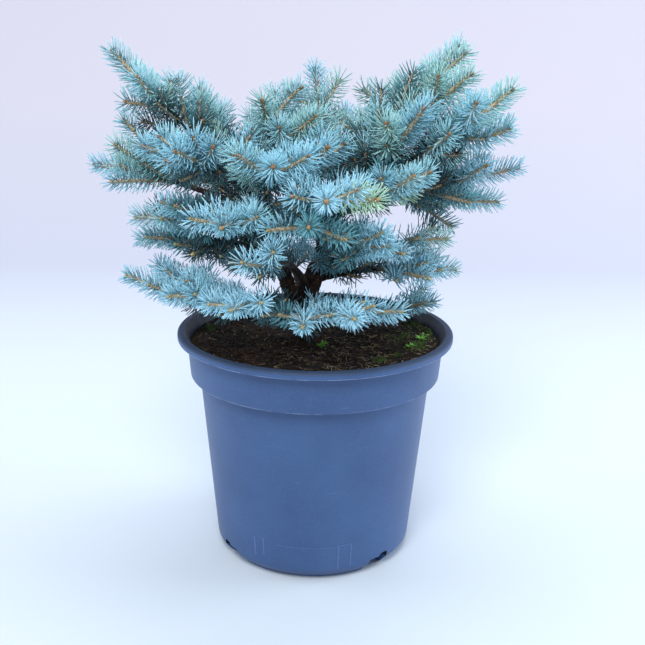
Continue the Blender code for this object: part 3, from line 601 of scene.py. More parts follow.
# %% Strips from arrays
def strips(roots, bends, tips, radius, sides=3, stations=(0.0, 0.35, 0.75), widths=(0.6, 1.0, 0.8), flat=1.0):
    """Closed, pointed, bent strips: rings at the stations of a curve root, bend, tip, then the tip itself."""
    chord = tips - roots
    chord /= np.linalg.norm(chord, axis=1)[:, None]
    across = np.cross(chord, np.where(np.abs(chord[:, 2:3]) > 0.9, [[1.0, 0, 0]], [[0, 0, 1.0]]))
    across /= np.linalg.norm(across, axis=1)[:, None]
    over = np.cross(across, chord)
    rings = []
    for station, width in zip(stations, widths):
        middle = (1 - station) ** 2 * roots + 2 * station * (1 - station) * bends + station**2 * tips
        for corner in range(sides):
            angle = 2 * math.pi * (corner + 0.25) / sides
            offset = across * math.cos(angle) + over * math.sin(angle) * flat
            rings.append(middle + offset * (radius * width)[:, None])
    points = np.stack(rings + [tips], 1)
    last = (len(stations) - 1) * sides
    triangles = []
    for corner in range(last):
        after = corner + 1 if (corner + 1) % sides else corner + 1 - sides
        triangles += [(corner, after, after + sides), (corner, after + sides, corner + sides)]
    triangles += [(last + corner, last + (corner + 1) % sides, last + sides) for corner in range(sides)]
    triangles += [(0, corner + 1, corner) for corner in range(1, sides - 1)]
    return points, repeated(np.array(triangles), points.shape[1], len(roots))


# %% Fibres and dead needles
LITTER_REACH, POT_WALL_REACH = 0.1, 0.1025


def litter(name, seed, count, length, radius, dark, pale, centre=None, spread=0):
    """Bits that lie on the peat, bent a little and half sunk in."""
    rng = np.random.default_rng(seed)
    spots = spots_on_soil(rng, count, LITTER_REACH)
    if centre:
        flat = np.array(centre) + rng.normal(size=(count, 2)) * spread
        spots = on_soil(flat[np.hypot(*flat.T) < LITTER_REACH])
        count = len(spots)
    heading = rng.uniform(0, 2 * math.pi, count)
    tilt = rng.normal(0.02, 0.16, count)
    sizes = rng.uniform(*length, count)[:, None]
    run = np.column_stack([np.cos(heading), np.sin(heading), np.sin(tilt)]) * sizes * 0.5
    bend = np.column_stack([-np.sin(heading), np.cos(heading), 0 * heading]) * rng.normal(0, 0.16, (count, 1))
    roots, tips = spots + (0, 0, 0.0003) - run, spots + (0, 0, 0.0005) + run
    for ends in (roots, tips):
        ends[:, :2] *= np.minimum(1.0, POT_WALL_REACH / np.hypot(ends[:, 0], ends[:, 1]))[:, None]
    points, triangles = strips(roots, spots + (0, 0, 0.0009) + bend * sizes, tips, rng.uniform(*radius, count))
    material = mottled_finish(name, 0.8, {"Scale": 60.0, "Detail": 6.0, "Roughness": 0.7},
                              ((0.35, dark), (0.68, pale)))
    piece_from_arrays(name, points, triangles, material)


# Dry and matt: brown fibres, straw that is nearly white, chips like the bark, and needles faded to rust.
litter("peat_fibres", 11, 700, (0.003, 0.013), (0.00012, 0.00026), "#2C1F15", "#84683F")
litter("straw_bits", 12, 460, (0.0015, 0.010), (0.00010, 0.00022), "#8A7650", "#E4D0A2", (0.030, -0.050), 0.042)
litter("bark_chips", 14, 170, (0.002, 0.006), (0.0005, 0.0010), "#1E1610", "#75614A")
litter("dead_needles", 13, 190, (0.006, 0.011), (0.00028, 0.00042), "#2C1A0E", "#6B4322", (-0.047, -0.034), 0.013)

# %% Grit
# Pale, dusty grains of sand and stone.
grit_finish = mottled_finish("pale_grit", 0.7, {"Scale": 150.0}, ((0, "#4C4233"), (1, "#B9AC8C")))
grit_rng = np.random.default_rng(9)
scatter_balls("grit", grit_rng, grit_rng.uniform(0.0003, 0.0008, 160), (0.7, 1.2), None, 0.0007, grit_finish)

# %% [markdown]
# ## Moss and seedlings
#
# Damp peat grows moss: cushions of tiny upright shoots, most of them near the wall. One weed seedling has come
# up before the trunk and three among the moss at the right. Both are pointed strips again, packed close for
# the moss, and wider and flatter for the seedlings' leaves.

# %% Moss
MOSS_PATCHES = ((83, -24, 8, 300), (91, -6, 6, 200), (85, 36, 9, 220), (52, -49, 5, 120), (66, -40, 3, 60),
                (94, 16, 5, 120), (-92, 22, 7, 150), (20, 84, 12, 260), (-50, 72, 10, 200), (62, 66, 9, 200),
                (72, 4, 12, 120))

moss_rng = np.random.default_rng(21)
spots = np.concatenate([np.array((x / 1000, y / 1000)) + moss_rng.normal(size=(count, 2)) * (spread / 1000) * 0.5
                        for x, y, spread, count in MOSS_PATCHES])
moss_roots = on_soil(spots[np.hypot(*spots.T) < 0.1012]) - (0, 0, 0.0004)
count = len(moss_roots)
lean = moss_rng.normal(0, 0.35, (count, 3)) + (0, 0, 1.0)
size = moss_rng.uniform(0.0012, 0.0034, (count, 1))
points, triangles = strips(moss_roots, moss_roots + (0, 0, 0.5) * size, moss_roots + lean * size,
                           moss_rng.uniform(0.0003, 0.0006, count))
# Patchy: deep green where it is damp and yellow green where it is drier.
moss = mottled_finish("cushion_moss", 0.75, {"Scale": 120.0, "Detail": 3.0}, ((0.35, "#141C0A"), (0.72, "#55752F")))
piece_from_arrays("moss", points, triangles, moss)

# %% Seedlings
SEEDLINGS = ((0.005, -0.014, 0.009), (0.078, -0.026, 0.007), (0.087, -0.014, 0.008), (0.092, -0.002, 0.006))

seed_rng = np.random.default_rng(31)
leaves = []
for x, y, size in SEEDLINGS:
    root = np.array((x, y, soil_height(x, y) - 0.0005))
    for leaf in range(9):
        angle = leaf * 2.4 + seed_rng.uniform(-0.4, 0.4)
        out = np.array((math.cos(angle), math.sin(angle), 0)) * size
        leaves.append((root, root + out * 0.25 + (0, 0, size * 0.55),
                       root + out * seed_rng.uniform(0.5, 0.85) + (0, 0, size * seed_rng.uniform(0.3, 0.7))))
roots, bends, tips = np.array(leaves).transpose(1, 0, 2)
points, triangles = strips(roots, bends, tips, np.full(len(roots), 0.0011),
                           sides=4, stations=(0.0, 0.25, 0.5, 0.8), widths=(0.3, 0.8, 1.0, 0.7), flat=0.3)
# Fresh green with a slight gloss.
leaf_finish = mottled_finish("seedling_leaves", 0.55, {"Scale": 300.0}, ((0, "#3F7A2C"), (1, "#7FB83E")))
piece_from_arrays("seedlings", points, triangles, leaf_finish)

# %% [markdown]
# ## Lines through the plant
#
# Everything that grows follows a line: the trunk, the limbs, each bough and each shoot. These few functions
# make a line, measure it, cut it into even steps, and carry a pair of directions along it that does not
# twist, so that a tube or a ring of needles can be set on it.


# %% Line helpers
def unit(vector):
    return vector / np.linalg.norm(vector)


def polar(azimuth, reach, height):
    angle = math.radians(azimuth)
    return np.array((reach * math.cos(angle), reach * math.sin(angle), height))


def bezier(start, handle_a, handle_b, end, count):
    t = np.linspace(0, 1, count)[:, None]
    return (1 - t) ** 3 * start + 3 * (1 - t) ** 2 * t * handle_a + 3 * (1 - t) * t**2 * handle_b + t**3 * end


def lengths(line):
    return np.concatenate([[0], np.cumsum(np.linalg.norm(np.diff(line, axis=0), axis=1))])


def point_at(line, distance):
    along = lengths(line)
    return np.array([np.interp(distance, along, line[:, axis]) for axis in range(3)])


def cut_line(line, start, end, step):
    """The stretch of a line between two distances along it, in even steps."""
    count = max(2, round((end - start) / step)) + 1
    return np.array([point_at(line, s) for s in np.linspace(start, end, count)])


def frames_along(line):
    """The tangent, the direction across and the one upward at each point, carried along without a twist."""
    ahead = np.gradient(line, axis=0)
    ahead /= np.linalg.norm(ahead, axis=1)[:, None]
    across = np.cross(ahead[0], (0, 0, 1.0))
    if np.linalg.norm(across) < 0.2:
        across = np.cross(ahead[0], (0, 1.0, 0))
    across = unit(across)
    rows = []
    for tangent in ahead:
        across = unit(across - tangent * across.dot(tangent))
        rows.append((tangent, across, np.cross(across, tangent)))
    return np.array(rows)


# %% [markdown]
# ## Trunk and left limb
#
# The trunk is short and leans into a fork a few centimetres above the peat. It could be two tubes, but bark
# runs over a fork without a seam. So the tubes are built ring by ring and bridged, a voxel remesh fuses
# them into one skin, a few rounds of smoothing fill the crotch, and only then is the relief of the bark
# pushed into the skin.

# %% Limb tables
# Rows of x, y, z and radius, in tenths of a millimetre.
LIMBS = {
    "trunk": ((-70, 30, 1783, 165), (-72, 30, 1840, 130), (-80, 30, 1970, 116), (-95, 30, 2130, 104),
              (-55, 30, 2280, 86), (45, 50, 2490, 74), (100, 70, 2820, 62), (130, 90, 3120, 52),
              (160, 100, 3370, 40)),
    "left_limb": ((-90, 30, 2060, 64), (-170, 20, 2150, 66), (-232, 10, 2270, 64), (-262, 0, 2380, 60),
                  (-320, 10, 2520, 56), (-430, 40, 2820, 50), (-530, 80, 3180, 38)),
}
LIMBS = {name: np.array(rows) / 10000 for name, rows in LIMBS.items()}


def smooth_limb(rows, step):
    """A limb's middle line and radii in even steps, rounded where the table turns."""
    along = lengths(rows[:, :3])
    even = np.arange(0, along[-1], step)
    fine = np.stack([np.interp(even, along, column) for column in rows.T], -1)
    kernel = np.hanning(9) / np.hanning(9).sum()
    padded = np.concatenate([fine[:1].repeat(4, 0), fine, fine[-1:].repeat(4, 0)])
    soft = np.stack([np.convolve(column, kernel, "valid") for column in padded.T], -1)
    return soft[:, :3], soft[:, 3]


# %% Rings bridged into tubes
VOXEL = 0.00072
SMOOTHING_ROUNDS = 7


def bridged_tube(bm, line, radii, sides):
    """A closed tube of circles along a line, each bridged to the next."""
    loops = []
    for middle, radius, (ahead, across, upward) in zip(line, radii, frames_along(line)):
        turn = Matrix((Vector(across), Vector(upward), Vector(-ahead))).transposed().to_4x4()
        ring = bmesh.ops.create_circle(bm, segments=sides, radius=radius,
                                       matrix=Matrix.Translation(Vector(middle)) @ turn)["verts"]
        loops.append(list({edge for vert in ring for edge in vert.link_edges}))
    for low, high in zip(loops, loops[1:]):
        bmesh.ops.bridge_loops(bm, edges=low + high)
    for end in (loops[0], loops[-1]):
        bmesh.ops.holes_fill(bm, edges=end, sides=sides)


trunk_bm = bmesh.new()
for name, rows in LIMBS.items():
    line, radii = smooth_limb(rows, 0.003)
    if name == "trunk":
        line[:, 2] -= np.where(lengths(line) < 0.004, 0.0025, 0)
    bridged_tube(trunk_bm, line, radii, 24)
bmesh.ops.recalc_face_normals(trunk_bm, faces=trunk_bm.faces[:])
skin = helper_object("skin", trunk_bm)
fuse = skin.modifiers.new("fuse", "REMESH")
fuse.mode, fuse.voxel_size = "VOXEL", VOXEL
trunk_bm = applied(skin)
for _ in range(SMOOTHING_ROUNDS):
    bmesh.ops.smooth_vert(trunk_bm, verts=trunk_bm.verts[:], factor=0.5,
                          use_axis_x=True, use_axis_y=True, use_axis_z=True)
print("trunk skin", len(trunk_bm.faces), "faces")

# %% Bark relief
FLARE_HEIGHT, FLARE = 0.014, 0.13


def bark_relief(spot):
    """How far the bark stands out: plates between cracks, with the stubs of old needles as small knobs."""
    near, _ = noise.voronoi(Vector((spot.x * 1.15, spot.y * 1.15, spot.z * 0.55)) * 330)
    plate = min(1.0, (near[1] - near[0]) * 2.4)
    knob, _ = noise.voronoi(spot * 420)
    rough = noise.fractal(spot * 260, 0.7, 2.1, 4)
    broad = noise.noise(spot * 90)
    return 0.00085 * (plate - 0.6) + 0.0005 * max(0.0, 0.45 - knob[0]) * 2 + 0.00045 * rough + 0.0006 * broad


for vert in trunk_bm.verts:
    vert.normal_update()
moves = [vert.normal * bark_relief(vert.co) for vert in trunk_bm.verts]
for vert, move in zip(trunk_bm.verts, moves):
    foot = max(0.0, 1 - (vert.co.z - SOIL_TOP) / FLARE_HEIGHT)
    away = Vector((vert.co.x - TRUNK_FOOT.x, vert.co.y - TRUNK_FOOT.y, 0))
    vert.co += move + away * FLARE * math.cos(4 * math.atan2(away.y, away.x) + 0.8) * foot
print("highest relief", round(max(move.length for move in moves) * 1000, 2), "mm")

# %% [markdown]
# ## Bark
#
# Young spruce bark is brown and scaly, nearly black where it is damp, with rusty cracks and a few grey
# flakes. The colour follows the same kind of cells as the relief, three millimetres wide and stretched
# upward, and fine noise roughens it.

# %% Bark finish
# Dark brown plates between black cracks, rusty in patches and flecked with grey.
bark, place = new_finish("spruce_bark", 0.88, {"IOR": 1.42})
upward = add_node(bark, "Mapping", {"Scale": (1.15, 1.15, 0.55)}, {"Vector": place})
plates = add_node(bark, "TexVoronoi", {"Scale": 330.0, "feature": "DISTANCE_TO_EDGE"}, {"Vector": upward})
rust = add_node(bark, "TexNoise", {"Scale": 170.0, "Detail": 5.0}, {"Vector": place})
flakes = add_node(bark, "TexNoise", {"Scale": 420.0, "Detail": 3.0}, {"Vector": place})
tint = add_node(bark, "ValToRGB", {"stops": ((0, "#0E0A09"), (0.30, "#34261D"))}, {"Fac": plates.outputs["Distance"]})
tint = laid_over(bark, tint, rust, 0.50, 0.68, 0.7, "#4E2E1B")
feed(bark, laid_over(bark, tint, flakes, 0.62, 0.72, 0.55, "#6A6157"))
feed(bark, add_node(bark, "Bump", {"Strength": 0.7, "Distance": 0.0005}, {"Height": flakes}), "Normal")
piece_from_bmesh("trunk_bark", trunk_bm, [bark], ["trunk", "left_limb"], 180)

# %% [markdown]
# ## The boughs
#
# A spruce grows by rule. Each bough leaves the trunk, arches out and ends in a leading shoot, and each year
# it adds one length of growth with a pair of side shoots where the last year ended. The table gives only
# what differs: which limb carries a bough, how high it starts, and where its leading shoots end, as an
# azimuth counted from +X, a reach from the pot's axis, a height, and the angle at which it ends.

# %% Bough table
# Rows of a name, the limb that carries it, whether its bare wood is a solid of its own, a seed for its side
# shoots, the height where it starts, the length of its foliage and of a year's growth, and then the ends of its
# leading shoots: azimuth, reach, height and the angle at which each ends. Lengths are in millimetres here.
BOUGH_ROWS = (
    ("top_left", "left_limb", True, 3, 314, 95, 52, (184, 158, 414, 50), (188, 149, 377, 20), (180, 110, 392, 78),
     (196, 92, 364, 50)),
    ("left_crown_back", "left_limb", False, 55, 294, 75, 36, (153, 112, 383, 58), (141, 132, 366, 30)),
    ("left_crown_front", "left_limb", True, 5, 297, 80, 36, (226, 143, 350, 18), (211, 147, 350, 18),
     (231, 80, 356, 30)),
    ("left_side", "left_limb", True, 7, 284, 88, 45, (181, 177, 326, 8), (193, 162, 318, 4), (192, 141, 346, 16),
     (175, 157, 360, 18)),
    ("left_mid", "left_limb", False, 2, 268, 78, 36, (193, 145, 290, 3), (218, 131, 308, 8)),
    ("left_lower", "left_limb", False, 4, 251, 76, 38, (181, 144, 266, -5), (212, 111, 267, 0)),
    ("left_low", "trunk", True, 6, 201, 90, 50, (190, 153, 241, 22), (172, 128, 236, 12)),
    ("left_rim", "trunk", True, 8, 193, 85, 34, (221, 143, 243, 8), (235, 134, 243, 6)),
    ("front_left_fringe", "trunk", True, 9, 202, 85, 34, (247, 150, 246, 5)),
    ("front_fringe", "trunk", False, 10, 191, 80, 32, (266, 130, 232, 2), (252, 122, 236, 4)),
    ("front_right_fringe", "trunk", True, 11, 200, 85, 34, (281, 141, 241, 8), (305, 110, 233, 8)),
    ("right_low", "trunk", False, 12, 194, 70, 34, (18, 108, 206, 4), (32, 114, 211, 8)),
    ("front_lower", "trunk", False, 13, 224, 80, 34, (253, 136, 268, -4), (259, 152, 290, 8), (239, 117, 271, 0)),
    ("front_left_mid", "left_limb", True, 14, 259, 85, 36, (247, 162, 306, 4)),
    ("front_mid", "trunk", True, 15, 250, 85, 36, (268, 158, 309, 6), (258, 153, 305, 6)),
    ("front_star", "trunk", True, 16, 276, 85, 38, (272, 168, 328, 8), (285, 152, 326, 10)),
    ("front_upper", "left_limb", True, 17, 281, 85, 38, (259, 152, 347, 14)),
    ("crown_front", "left_limb", False, 18, 309, 85, 40, (274, 100, 354, 32)),
    ("crown_left", "left_limb", False, 19, 316, 78, 44, (176, 14, 388, 38), (268, 52, 371, 34)),
    ("crown_back", "trunk", False, 70, 327, 78, 40, (92, 100, 398, 56)),
    ("right_crown", "trunk", False, 21, 316, 80, 38, (313, 109, 380, 50), (307, 74, 376, 50)),
    ("right_top", "trunk", True, 22, 334, 90, 50, (24, 126, 420, 44), (49, 105, 388, 40), (53, 63, 384, 50)),
    ("right_top_front", "trunk", False, 23, 321, 78, 36, (354, 118, 401, 40)),
    ("right_arm", "trunk", True, 24, 304, 92, 46, (337, 153, 393, 42), (359, 150, 361, 20), (322, 120, 362, 30)),
    ("right_side", "trunk", True, 25, 286, 95, 50, (358, 160, 329, 14), (346, 122, 305, 2), (18, 153, 294, -4)),
    ("right_front", "trunk", False, 26, 293, 80, 36, (304, 121, 335, 28)),
    ("right_mid", "trunk", False, 27, 252, 75, 36, (350, 106, 273, 6), (322, 84, 268, 4)),
    ("right_lower", "trunk", False, 28, 232, 72, 36, (3, 115, 242, -6), (342, 94, 243, -6)),
    ("right_inner", "trunk", False, 29, 240, 70, 32, (292, 108, 281, 8), (278, 131, 299, 10)),
    ("back_crown", "left_limb", False, 30, 312, 85, 40, (108, 130, 362, 30)),
    ("back_crown_right", "trunk", False, 31, 310, 85, 40, (62, 133, 362, 32), (80, 130, 360, 32)),
    ("back_left", "left_limb", True, 32, 276, 88, 42, (145, 158, 325, 12), (162, 150, 316, 10)),
    ("back_right", "trunk", True, 33, 281, 88, 42, (38, 160, 325, 12), (55, 155, 315, 12), (19, 122, 272, -18)),
    ("back_mid", "trunk", True, 34, 296, 88, 42, (93, 160, 320, 12), (112, 152, 322, 14)),
    ("back_low_left", "left_limb", False, 35, 243, 80, 38, (131, 148, 262, 2), (108, 146, 268, 4)),
    ("back_low_right", "trunk", False, 36, 236, 80, 38, (62, 146, 240, 2), (84, 146, 252, 4)),
    ("back_fringe", "trunk", False, 37, 214, 80, 36, (104, 134, 234, 4), (128, 134, 234, 4)),
)
Bough = namedtuple("Bough", "name limb bare seed root foliage leader rise ends")
BOUGHS = []
for name, limb, bare, seed, root, foliage, leader, *ends in BOUGH_ROWS:
    ends = [(azimuth, reach / 1000, height / 1000, rise) for azimuth, reach, height, rise in ends]
    BOUGHS.append(Bough(name, limb, bare, seed, root / 1000, foliage / 1000, leader / 1000, ends[0][3], ends))
print("boughs", len(BOUGHS))

# %% [markdown]
# ## How a bough runs
#
# A bough's line is one even arc from its limb to its tip. A further leading shoot leaves that arc where it
# can run on without a sharp bend, which is how a fork looks after a few years.

# %% Bough and fork lines
PATH_STEP = 0.004
BOUGH_CURVE = 0.36
FORK_CURVE = 0.33
FORK_ANGLE = 38


def on_limb(rows, height):
    """The point of a limb's middle line at a height."""
    return np.array([np.interp(height, rows[:, 2], rows[:, axis]) for axis in range(3)])


def risen(heading, degrees):
    """A level direction turned upward."""
    angle = math.radians(degrees)
    return heading * math.cos(angle) + np.array((0, 0, math.sin(angle)))


def sweep(root, tip, rise):
    """An even arc from the root that ends at the tip, rising at that many degrees."""
    chord = tip - root
    flat = math.hypot(chord[0], chord[1])
    heading = np.array((chord[0], chord[1], 0)) / flat
    slope = math.degrees(math.atan2(chord[2], flat))
    out = risen(heading, max(-25.0, min(72.0, 2 * slope - rise)))
    reach = np.linalg.norm(chord) * BOUGH_CURVE
    rough = bezier(root, root + out * reach, tip - risen(heading, rise) * reach, tip, 33)
    return cut_line(rough, 0, lengths(rough)[-1], PATH_STEP)


def fork(line, begins, total, tip, rise):
    """A further leading shoot, which leaves the stem at the best of nine places."""
    places = []
    for share in np.linspace(0.06, 0.7, 9):
        root = point_at(line, begins + (total - begins) * share)
        ahead = unit(point_at(line, begins + (total - begins) * share + 0.004) - root)
        turn = math.degrees(math.acos(max(-1, min(1, ahead.dot(unit(tip - root))))))
        places.append((abs(turn - FORK_ANGLE), root, ahead))
    _, root, ahead = min(places, key=lambda place: place[0])
    chord = tip - root
    size = np.linalg.norm(chord)
    ending = unit(risen(unit(np.array((chord[0], chord[1], 0.0))), rise) + chord / size)
    outward = unit(chord / size + ahead * 0.35)
    rough = bezier(root, root + outward * size * FORK_CURVE, tip - ending * size * FORK_CURVE, tip, 17)
    return cut_line(rough, 0, lengths(rough)[-1], PATH_STEP)


# %% Leading shoots
SEAT = 0.0003

stems, shoots = {}, []
for bough in BOUGHS:
    *end, rise = bough.ends[0]
    arc = sweep(on_limb(LIMBS[bough.limb], bough.root), polar(*end), rise)
    total = lengths(arc)[-1]
    begins = total - bough.foliage + (SEAT if bough.bare else 0)
    stems[bough.name] = arc, begins
    shoots.append((bough.name, cut_line(arc, begins, total, PATH_STEP), "stem"))
    for *end, rise in bough.ends[1:]:
        shoots.append((bough.name, fork(arc, begins, total, polar(*end), rise), "twin"))
print("leading shoots", len(shoots))

# %% [markdown]
# ## Keeping to free space
#
# Shoots need light, so none grows where another already is. Before a side shoot is kept, its outer part is
# measured against every line so far, against the bare limbs, and against the pot and the peat. Arrays hold
# all those lines as short segments, so that one sum gives every distance at once.

# %% Space test
TWIG_CLEARANCE = 0.0085
LIMB_CLEARANCE = 0.0055
POT_CLEARANCE = 0.004
CORE_RADIUS = 0.0036
BARE_RADIUS = 0.0024
BARE_STEP = 0.014

limb_lines = [(rows[:, :3], rows[:, 3].min()) for rows in LIMBS.values()]
for bough in BOUGHS:
    if bough.bare:
        arc, begins = stems[bough.name]
        limb_lines.append((cut_line(arc, 0, begins - SEAT, BARE_STEP), BARE_RADIUS))
limb_starts = np.concatenate([line[:-1] for line, _ in limb_lines])
limb_ends = np.concatenate([line[1:] for line, _ in limb_lines])
limb_room = np.concatenate([np.full(len(line) - 1, radius) for line, radius in limb_lines])


def segment_distances(points, starts, ends):
    """Distances from each point, a row, to each segment, a column."""
    run = ends - starts
    to = points[:, None, :] - starts[None]
    share = np.clip((to * run).sum(-1) / np.maximum((run * run).sum(-1), 1e-12), 0, 1)
    return np.linalg.norm(to - share[..., None] * run, axis=-1)


def above_pot(point, room):
    """Whether a point stays that far clear of the peat and of the pot's rim."""
    if point[2] > POT_HEIGHT + room:
        return True
    return math.hypot(point[0], point[1]) < RIM_INNER_RADIUS - WALL - room and point[2] > SOIL_TOP + 0.0012 + room


class Crown:
    """The segments of every shoot so far, with the mass that each belongs to."""

    def __init__(self):
        self.starts, self.ends, self.mass = np.zeros((0, 3)), np.zeros((0, 3)), np.zeros(0, dtype="U32")

    def take(self, mass, line):
        self.starts = np.concatenate([self.starts, line[:-1]])
        self.ends = np.concatenate([self.ends, line[1:]])
        self.mass = np.concatenate([self.mass, [mass] * (len(line) - 1)])

    def has_room(self, mass, twig, room, own_room):
        outer = twig[2:]
        gaps = segment_distances(outer, self.starts, self.ends)
        own = self.mass == mass
        if (~own).any() and gaps[:, ~own].min() < room or gaps[1:, own].min() < own_room:
            return False
        if (segment_distances(outer, limb_starts, limb_ends) < LIMB_CLEARANCE + limb_room).any():
            return False
        return all(above_pot(point, POT_CLEARANCE + CORE_RADIUS) for point in outer)


crown = Crown()
for mass, line, _ in shoots:
    crown.take(mass, line)

# %% [markdown]
# ## Side shoots
#
# Where a year's growth ended, a pair of side shoots leaves at about fifty degrees, a little shorter than
# the leader, and bends forward. A side shoot that would stand up above its leader is laid down again.

# %% The yearly pairs
YEAR_LENGTH = (0.029, 0.036)
SIDE_ANGLE, SIDE_LIFT, SIDE_ROLL = (42, 60), (-12, 26), (-16, 16)
SIDE_LENGTH = (0.72, 0.95)
SIDE_BEND = 0.35
MOST_EXTRA_RISE = 10
MOST_PAIRS = {"stem": 2, "twin": 1}


def leading_shoots(bough):
    """The lines and kinds of a bough's leading shoots."""
    return [(line, kind) for mass, line, kind in shoots if mass == bough.name and kind in MOST_PAIRS]


def settled(direction, rise):
    """A side shoot's direction, laid down until it rises little more than the leading shoot does."""
    most = math.sin(math.radians(min(80, rise + MOST_EXTRA_RISE)))
    if direction[2] <= most:
        return direction
    flat = unit(np.array((direction[0], direction[1], 0)))
    return flat * math.sqrt(1 - most**2) + np.array((0, 0, most))


def directions_at(line, at):
    """The point of a line at a distance, with the directions ahead, across and upward there."""
    ahead = unit(point_at(line, at + 0.003) - point_at(line, at - 0.003))
    across = np.cross(ahead, (0, 0, 1.0))
    if np.linalg.norm(across) < 0.3:
        across = np.cross(ahead, (1.0, 0.3, 0))
    across = unit(across)
    return point_at(line, at), ahead, across, np.cross(across, ahead)


def side_line(point, ahead, upward, start, length):
    """A side shoot's line, which leaves in the direction of its start and bends ahead and up."""
    return bezier(
        point,
        point + start * length * SIDE_BEND,
        point + start * length * 0.7 + (ahead + upward * 0.4) * length * 0.06,
        point + start * length * 0.92 + (ahead + upward * 0.5) * length * 0.16,
        6,
    )


for bough in BOUGHS:
    rng = random.Random(bough.seed)
    for line, kind in leading_shoots(bough):
        at = lengths(line)[-1] - bough.leader
        for _ in range(MOST_PAIRS[kind]):
            if at <= 0.012:
                break
            point, ahead, across, upward = directions_at(line, at)
            roll = math.radians(rng.uniform(*SIDE_ROLL))
            for hand in (1, -1):
                angle = math.radians(rng.uniform(*SIDE_ANGLE))
                lift = math.radians(rng.uniform(*SIDE_LIFT)) + roll * hand
                length = bough.leader * rng.uniform(*SIDE_LENGTH)
                sideways = across * hand * math.cos(lift) + upward * math.sin(lift)
                start = settled(ahead * math.cos(angle) + sideways * math.sin(angle), bough.rise)
                twig = side_line(point, ahead, upward, start, length)
                if crown.has_room(bough.name, twig, TWIG_CLEARANCE, TWIG_CLEARANCE * 0.75):
                    crown.take(bough.name, twig)
                    shoots.append((bough.name, twig, "side"))
            at -= rng.uniform(*YEAR_LENGTH)
print("shoots that the solids have too", len(shoots))

# %% [markdown]
# ## Gaps in the crown
#
# Under the lowest tier there is only air, since no light reaches it, and there the trunk and the sky behind
# it can be seen from the front. Smaller gaps lie in the fork and at the right. Each is a flat window through
# the crown. A margin makes it wider for shoots, which bear needles, and a negative one narrower.

# %% Gaps in the crown
AIR_SLOPE = 0.263


def in_open_air(points, margin=0.0):
    """Which points lie in the flat gaps of the crown, which rise towards the front, or that far outside."""
    x, lift = points[:, 0], points[:, 2] + AIR_SLOPE * points[:, 1]

    def gap(middle, half_width, low, high):
        return (np.abs(x - middle) < half_width + margin) & (lift > low) & (lift < high)

    drop = np.where(x > 0.012, 0.0035, 0.0)
    ceiling = 0.2345 + 0.0035 * np.sin(x * 110 + 2.2) - drop
    under_tier = gap(0.010, 0.058, 0.2210 - drop - margin, ceiling + margin)
    in_fork = gap(-0.0150, 0.0095, 0.2250, 0.2485 + margin)
    at_trunk = gap(-0.0126, 0.0050 + 0.2 * (lift - 0.2030), 0.2030 - margin, 0.2230)
    at_right = gap(0.071, 0.016, 0.2700 - margin, 0.2845 + margin)
    return under_tier | in_fork | at_trunk | at_right


# %% [markdown]
# ## Weaker shoots
#
# The solids stop at the yearly pairs, because a solid of spikes can hold no more. The real plant goes on with
# weaker shoots between the pairs and along the older wood. They follow the same rule with closer clearances,
# and none ends further than a needle's length from the twigs that the solids have, so the crown keeps its
# outline. A shoot whose end would stand bare in a gap is cut short.

# %% Weaker shoots
WEAK_CLEARANCE, WEAK_OWN_CLEARANCE = 0.0098, 0.0074
WEAK_REACH = 0.0165
LEAST_HEIGHT_OVER_PEAT = 0.022
STEEPEST_FALL = -0.45
GAP_ROOM, COVERED_GAP_ROOM = 0.0035, -0.002

bare_lines = [cut_line(arc, 0.012, begins, BARE_STEP) for arc, begins in stems.values() if begins > 0.026]
frame_starts = np.concatenate([crown.starts] + [line[:-1] for line in bare_lines])
frame_ends = np.concatenate([crown.ends] + [line[1:] for line in bare_lines])


def weak_twigs(bough, line, at, rng, spread, angles, sizes, extra_rise, air):
    """Up to four weak twigs round a line, where there is room for them and they stay within the crown's reach."""
    point, ahead, across, upward = directions_at(line, at)
    for quarter in (0, math.pi, math.pi / 2, -math.pi / 2):
        turn = quarter + math.radians(rng.uniform(-spread, spread))
        angle, length = math.radians(rng.uniform(*angles)), rng.uniform(*sizes)
        sideways = across * math.cos(turn) + upward * math.sin(turn)
        start = settled(ahead * math.cos(angle) + sideways * math.sin(angle), bough.rise + extra_rise)
        twig = side_line(point, ahead, upward, start, length)
        tip = twig[-1]
        if (segment_distances(twig[-1:], frame_starts, frame_ends).min() <= WEAK_REACH
                and not in_open_air(twig, air).any() and start[2] >= STEEPEST_FALL
                and tip[2] >= soil_tilt(tip[0], tip[1]) + LEAST_HEIGHT_OVER_PEAT
                and crown.has_room(bough.name, twig, WEAK_CLEARANCE, WEAK_OWN_CLEARANCE)):
            crown.take(bough.name, twig)
            shoots.append((bough.name, twig, "weak"))


for bough in BOUGHS:
    rng = random.Random(bough.seed + 500)
    for line, kind in leading_shoots(bough):
        at = lengths(line)[-1] - bough.leader - 0.009
        while at > 0.006:
            weak_twigs(bough, line, at, rng, 28, (42, 60), (0.022, 0.034), 12, GAP_ROOM)
            at -= rng.uniform(0.010, 0.015)
for bough in BOUGHS:
    rng = random.Random(bough.seed + 900)
    arc, begins = stems[bough.name]
    for at in np.arange(max(0.020, begins * 0.30), begins, 0.009):
        weak_twigs(bough, arc, at, rng, 30, (40, 62), (0.015, 0.026), 40, COVERED_GAP_ROOM)


def ends_before_gap(line):
    """A shoot's line, cut short where its end would stand in one of the crown's gaps."""
    inside = in_open_air(line, 0.001)
    return line[: int(np.argmax(inside))] if inside[-1] else line


shoots = [(mass, ends_before_gap(line) if kind == "side" else line, kind) for mass, line, kind in shoots]
shoots = [(mass, line, kind) for mass, line, kind in shoots if len(line) > 2 and lengths(line)[-1] > 0.008]
print("shoots in all", len(shoots), "total length", round(sum(lengths(line)[-1] for _, line, _ in shoots), 2), "m")

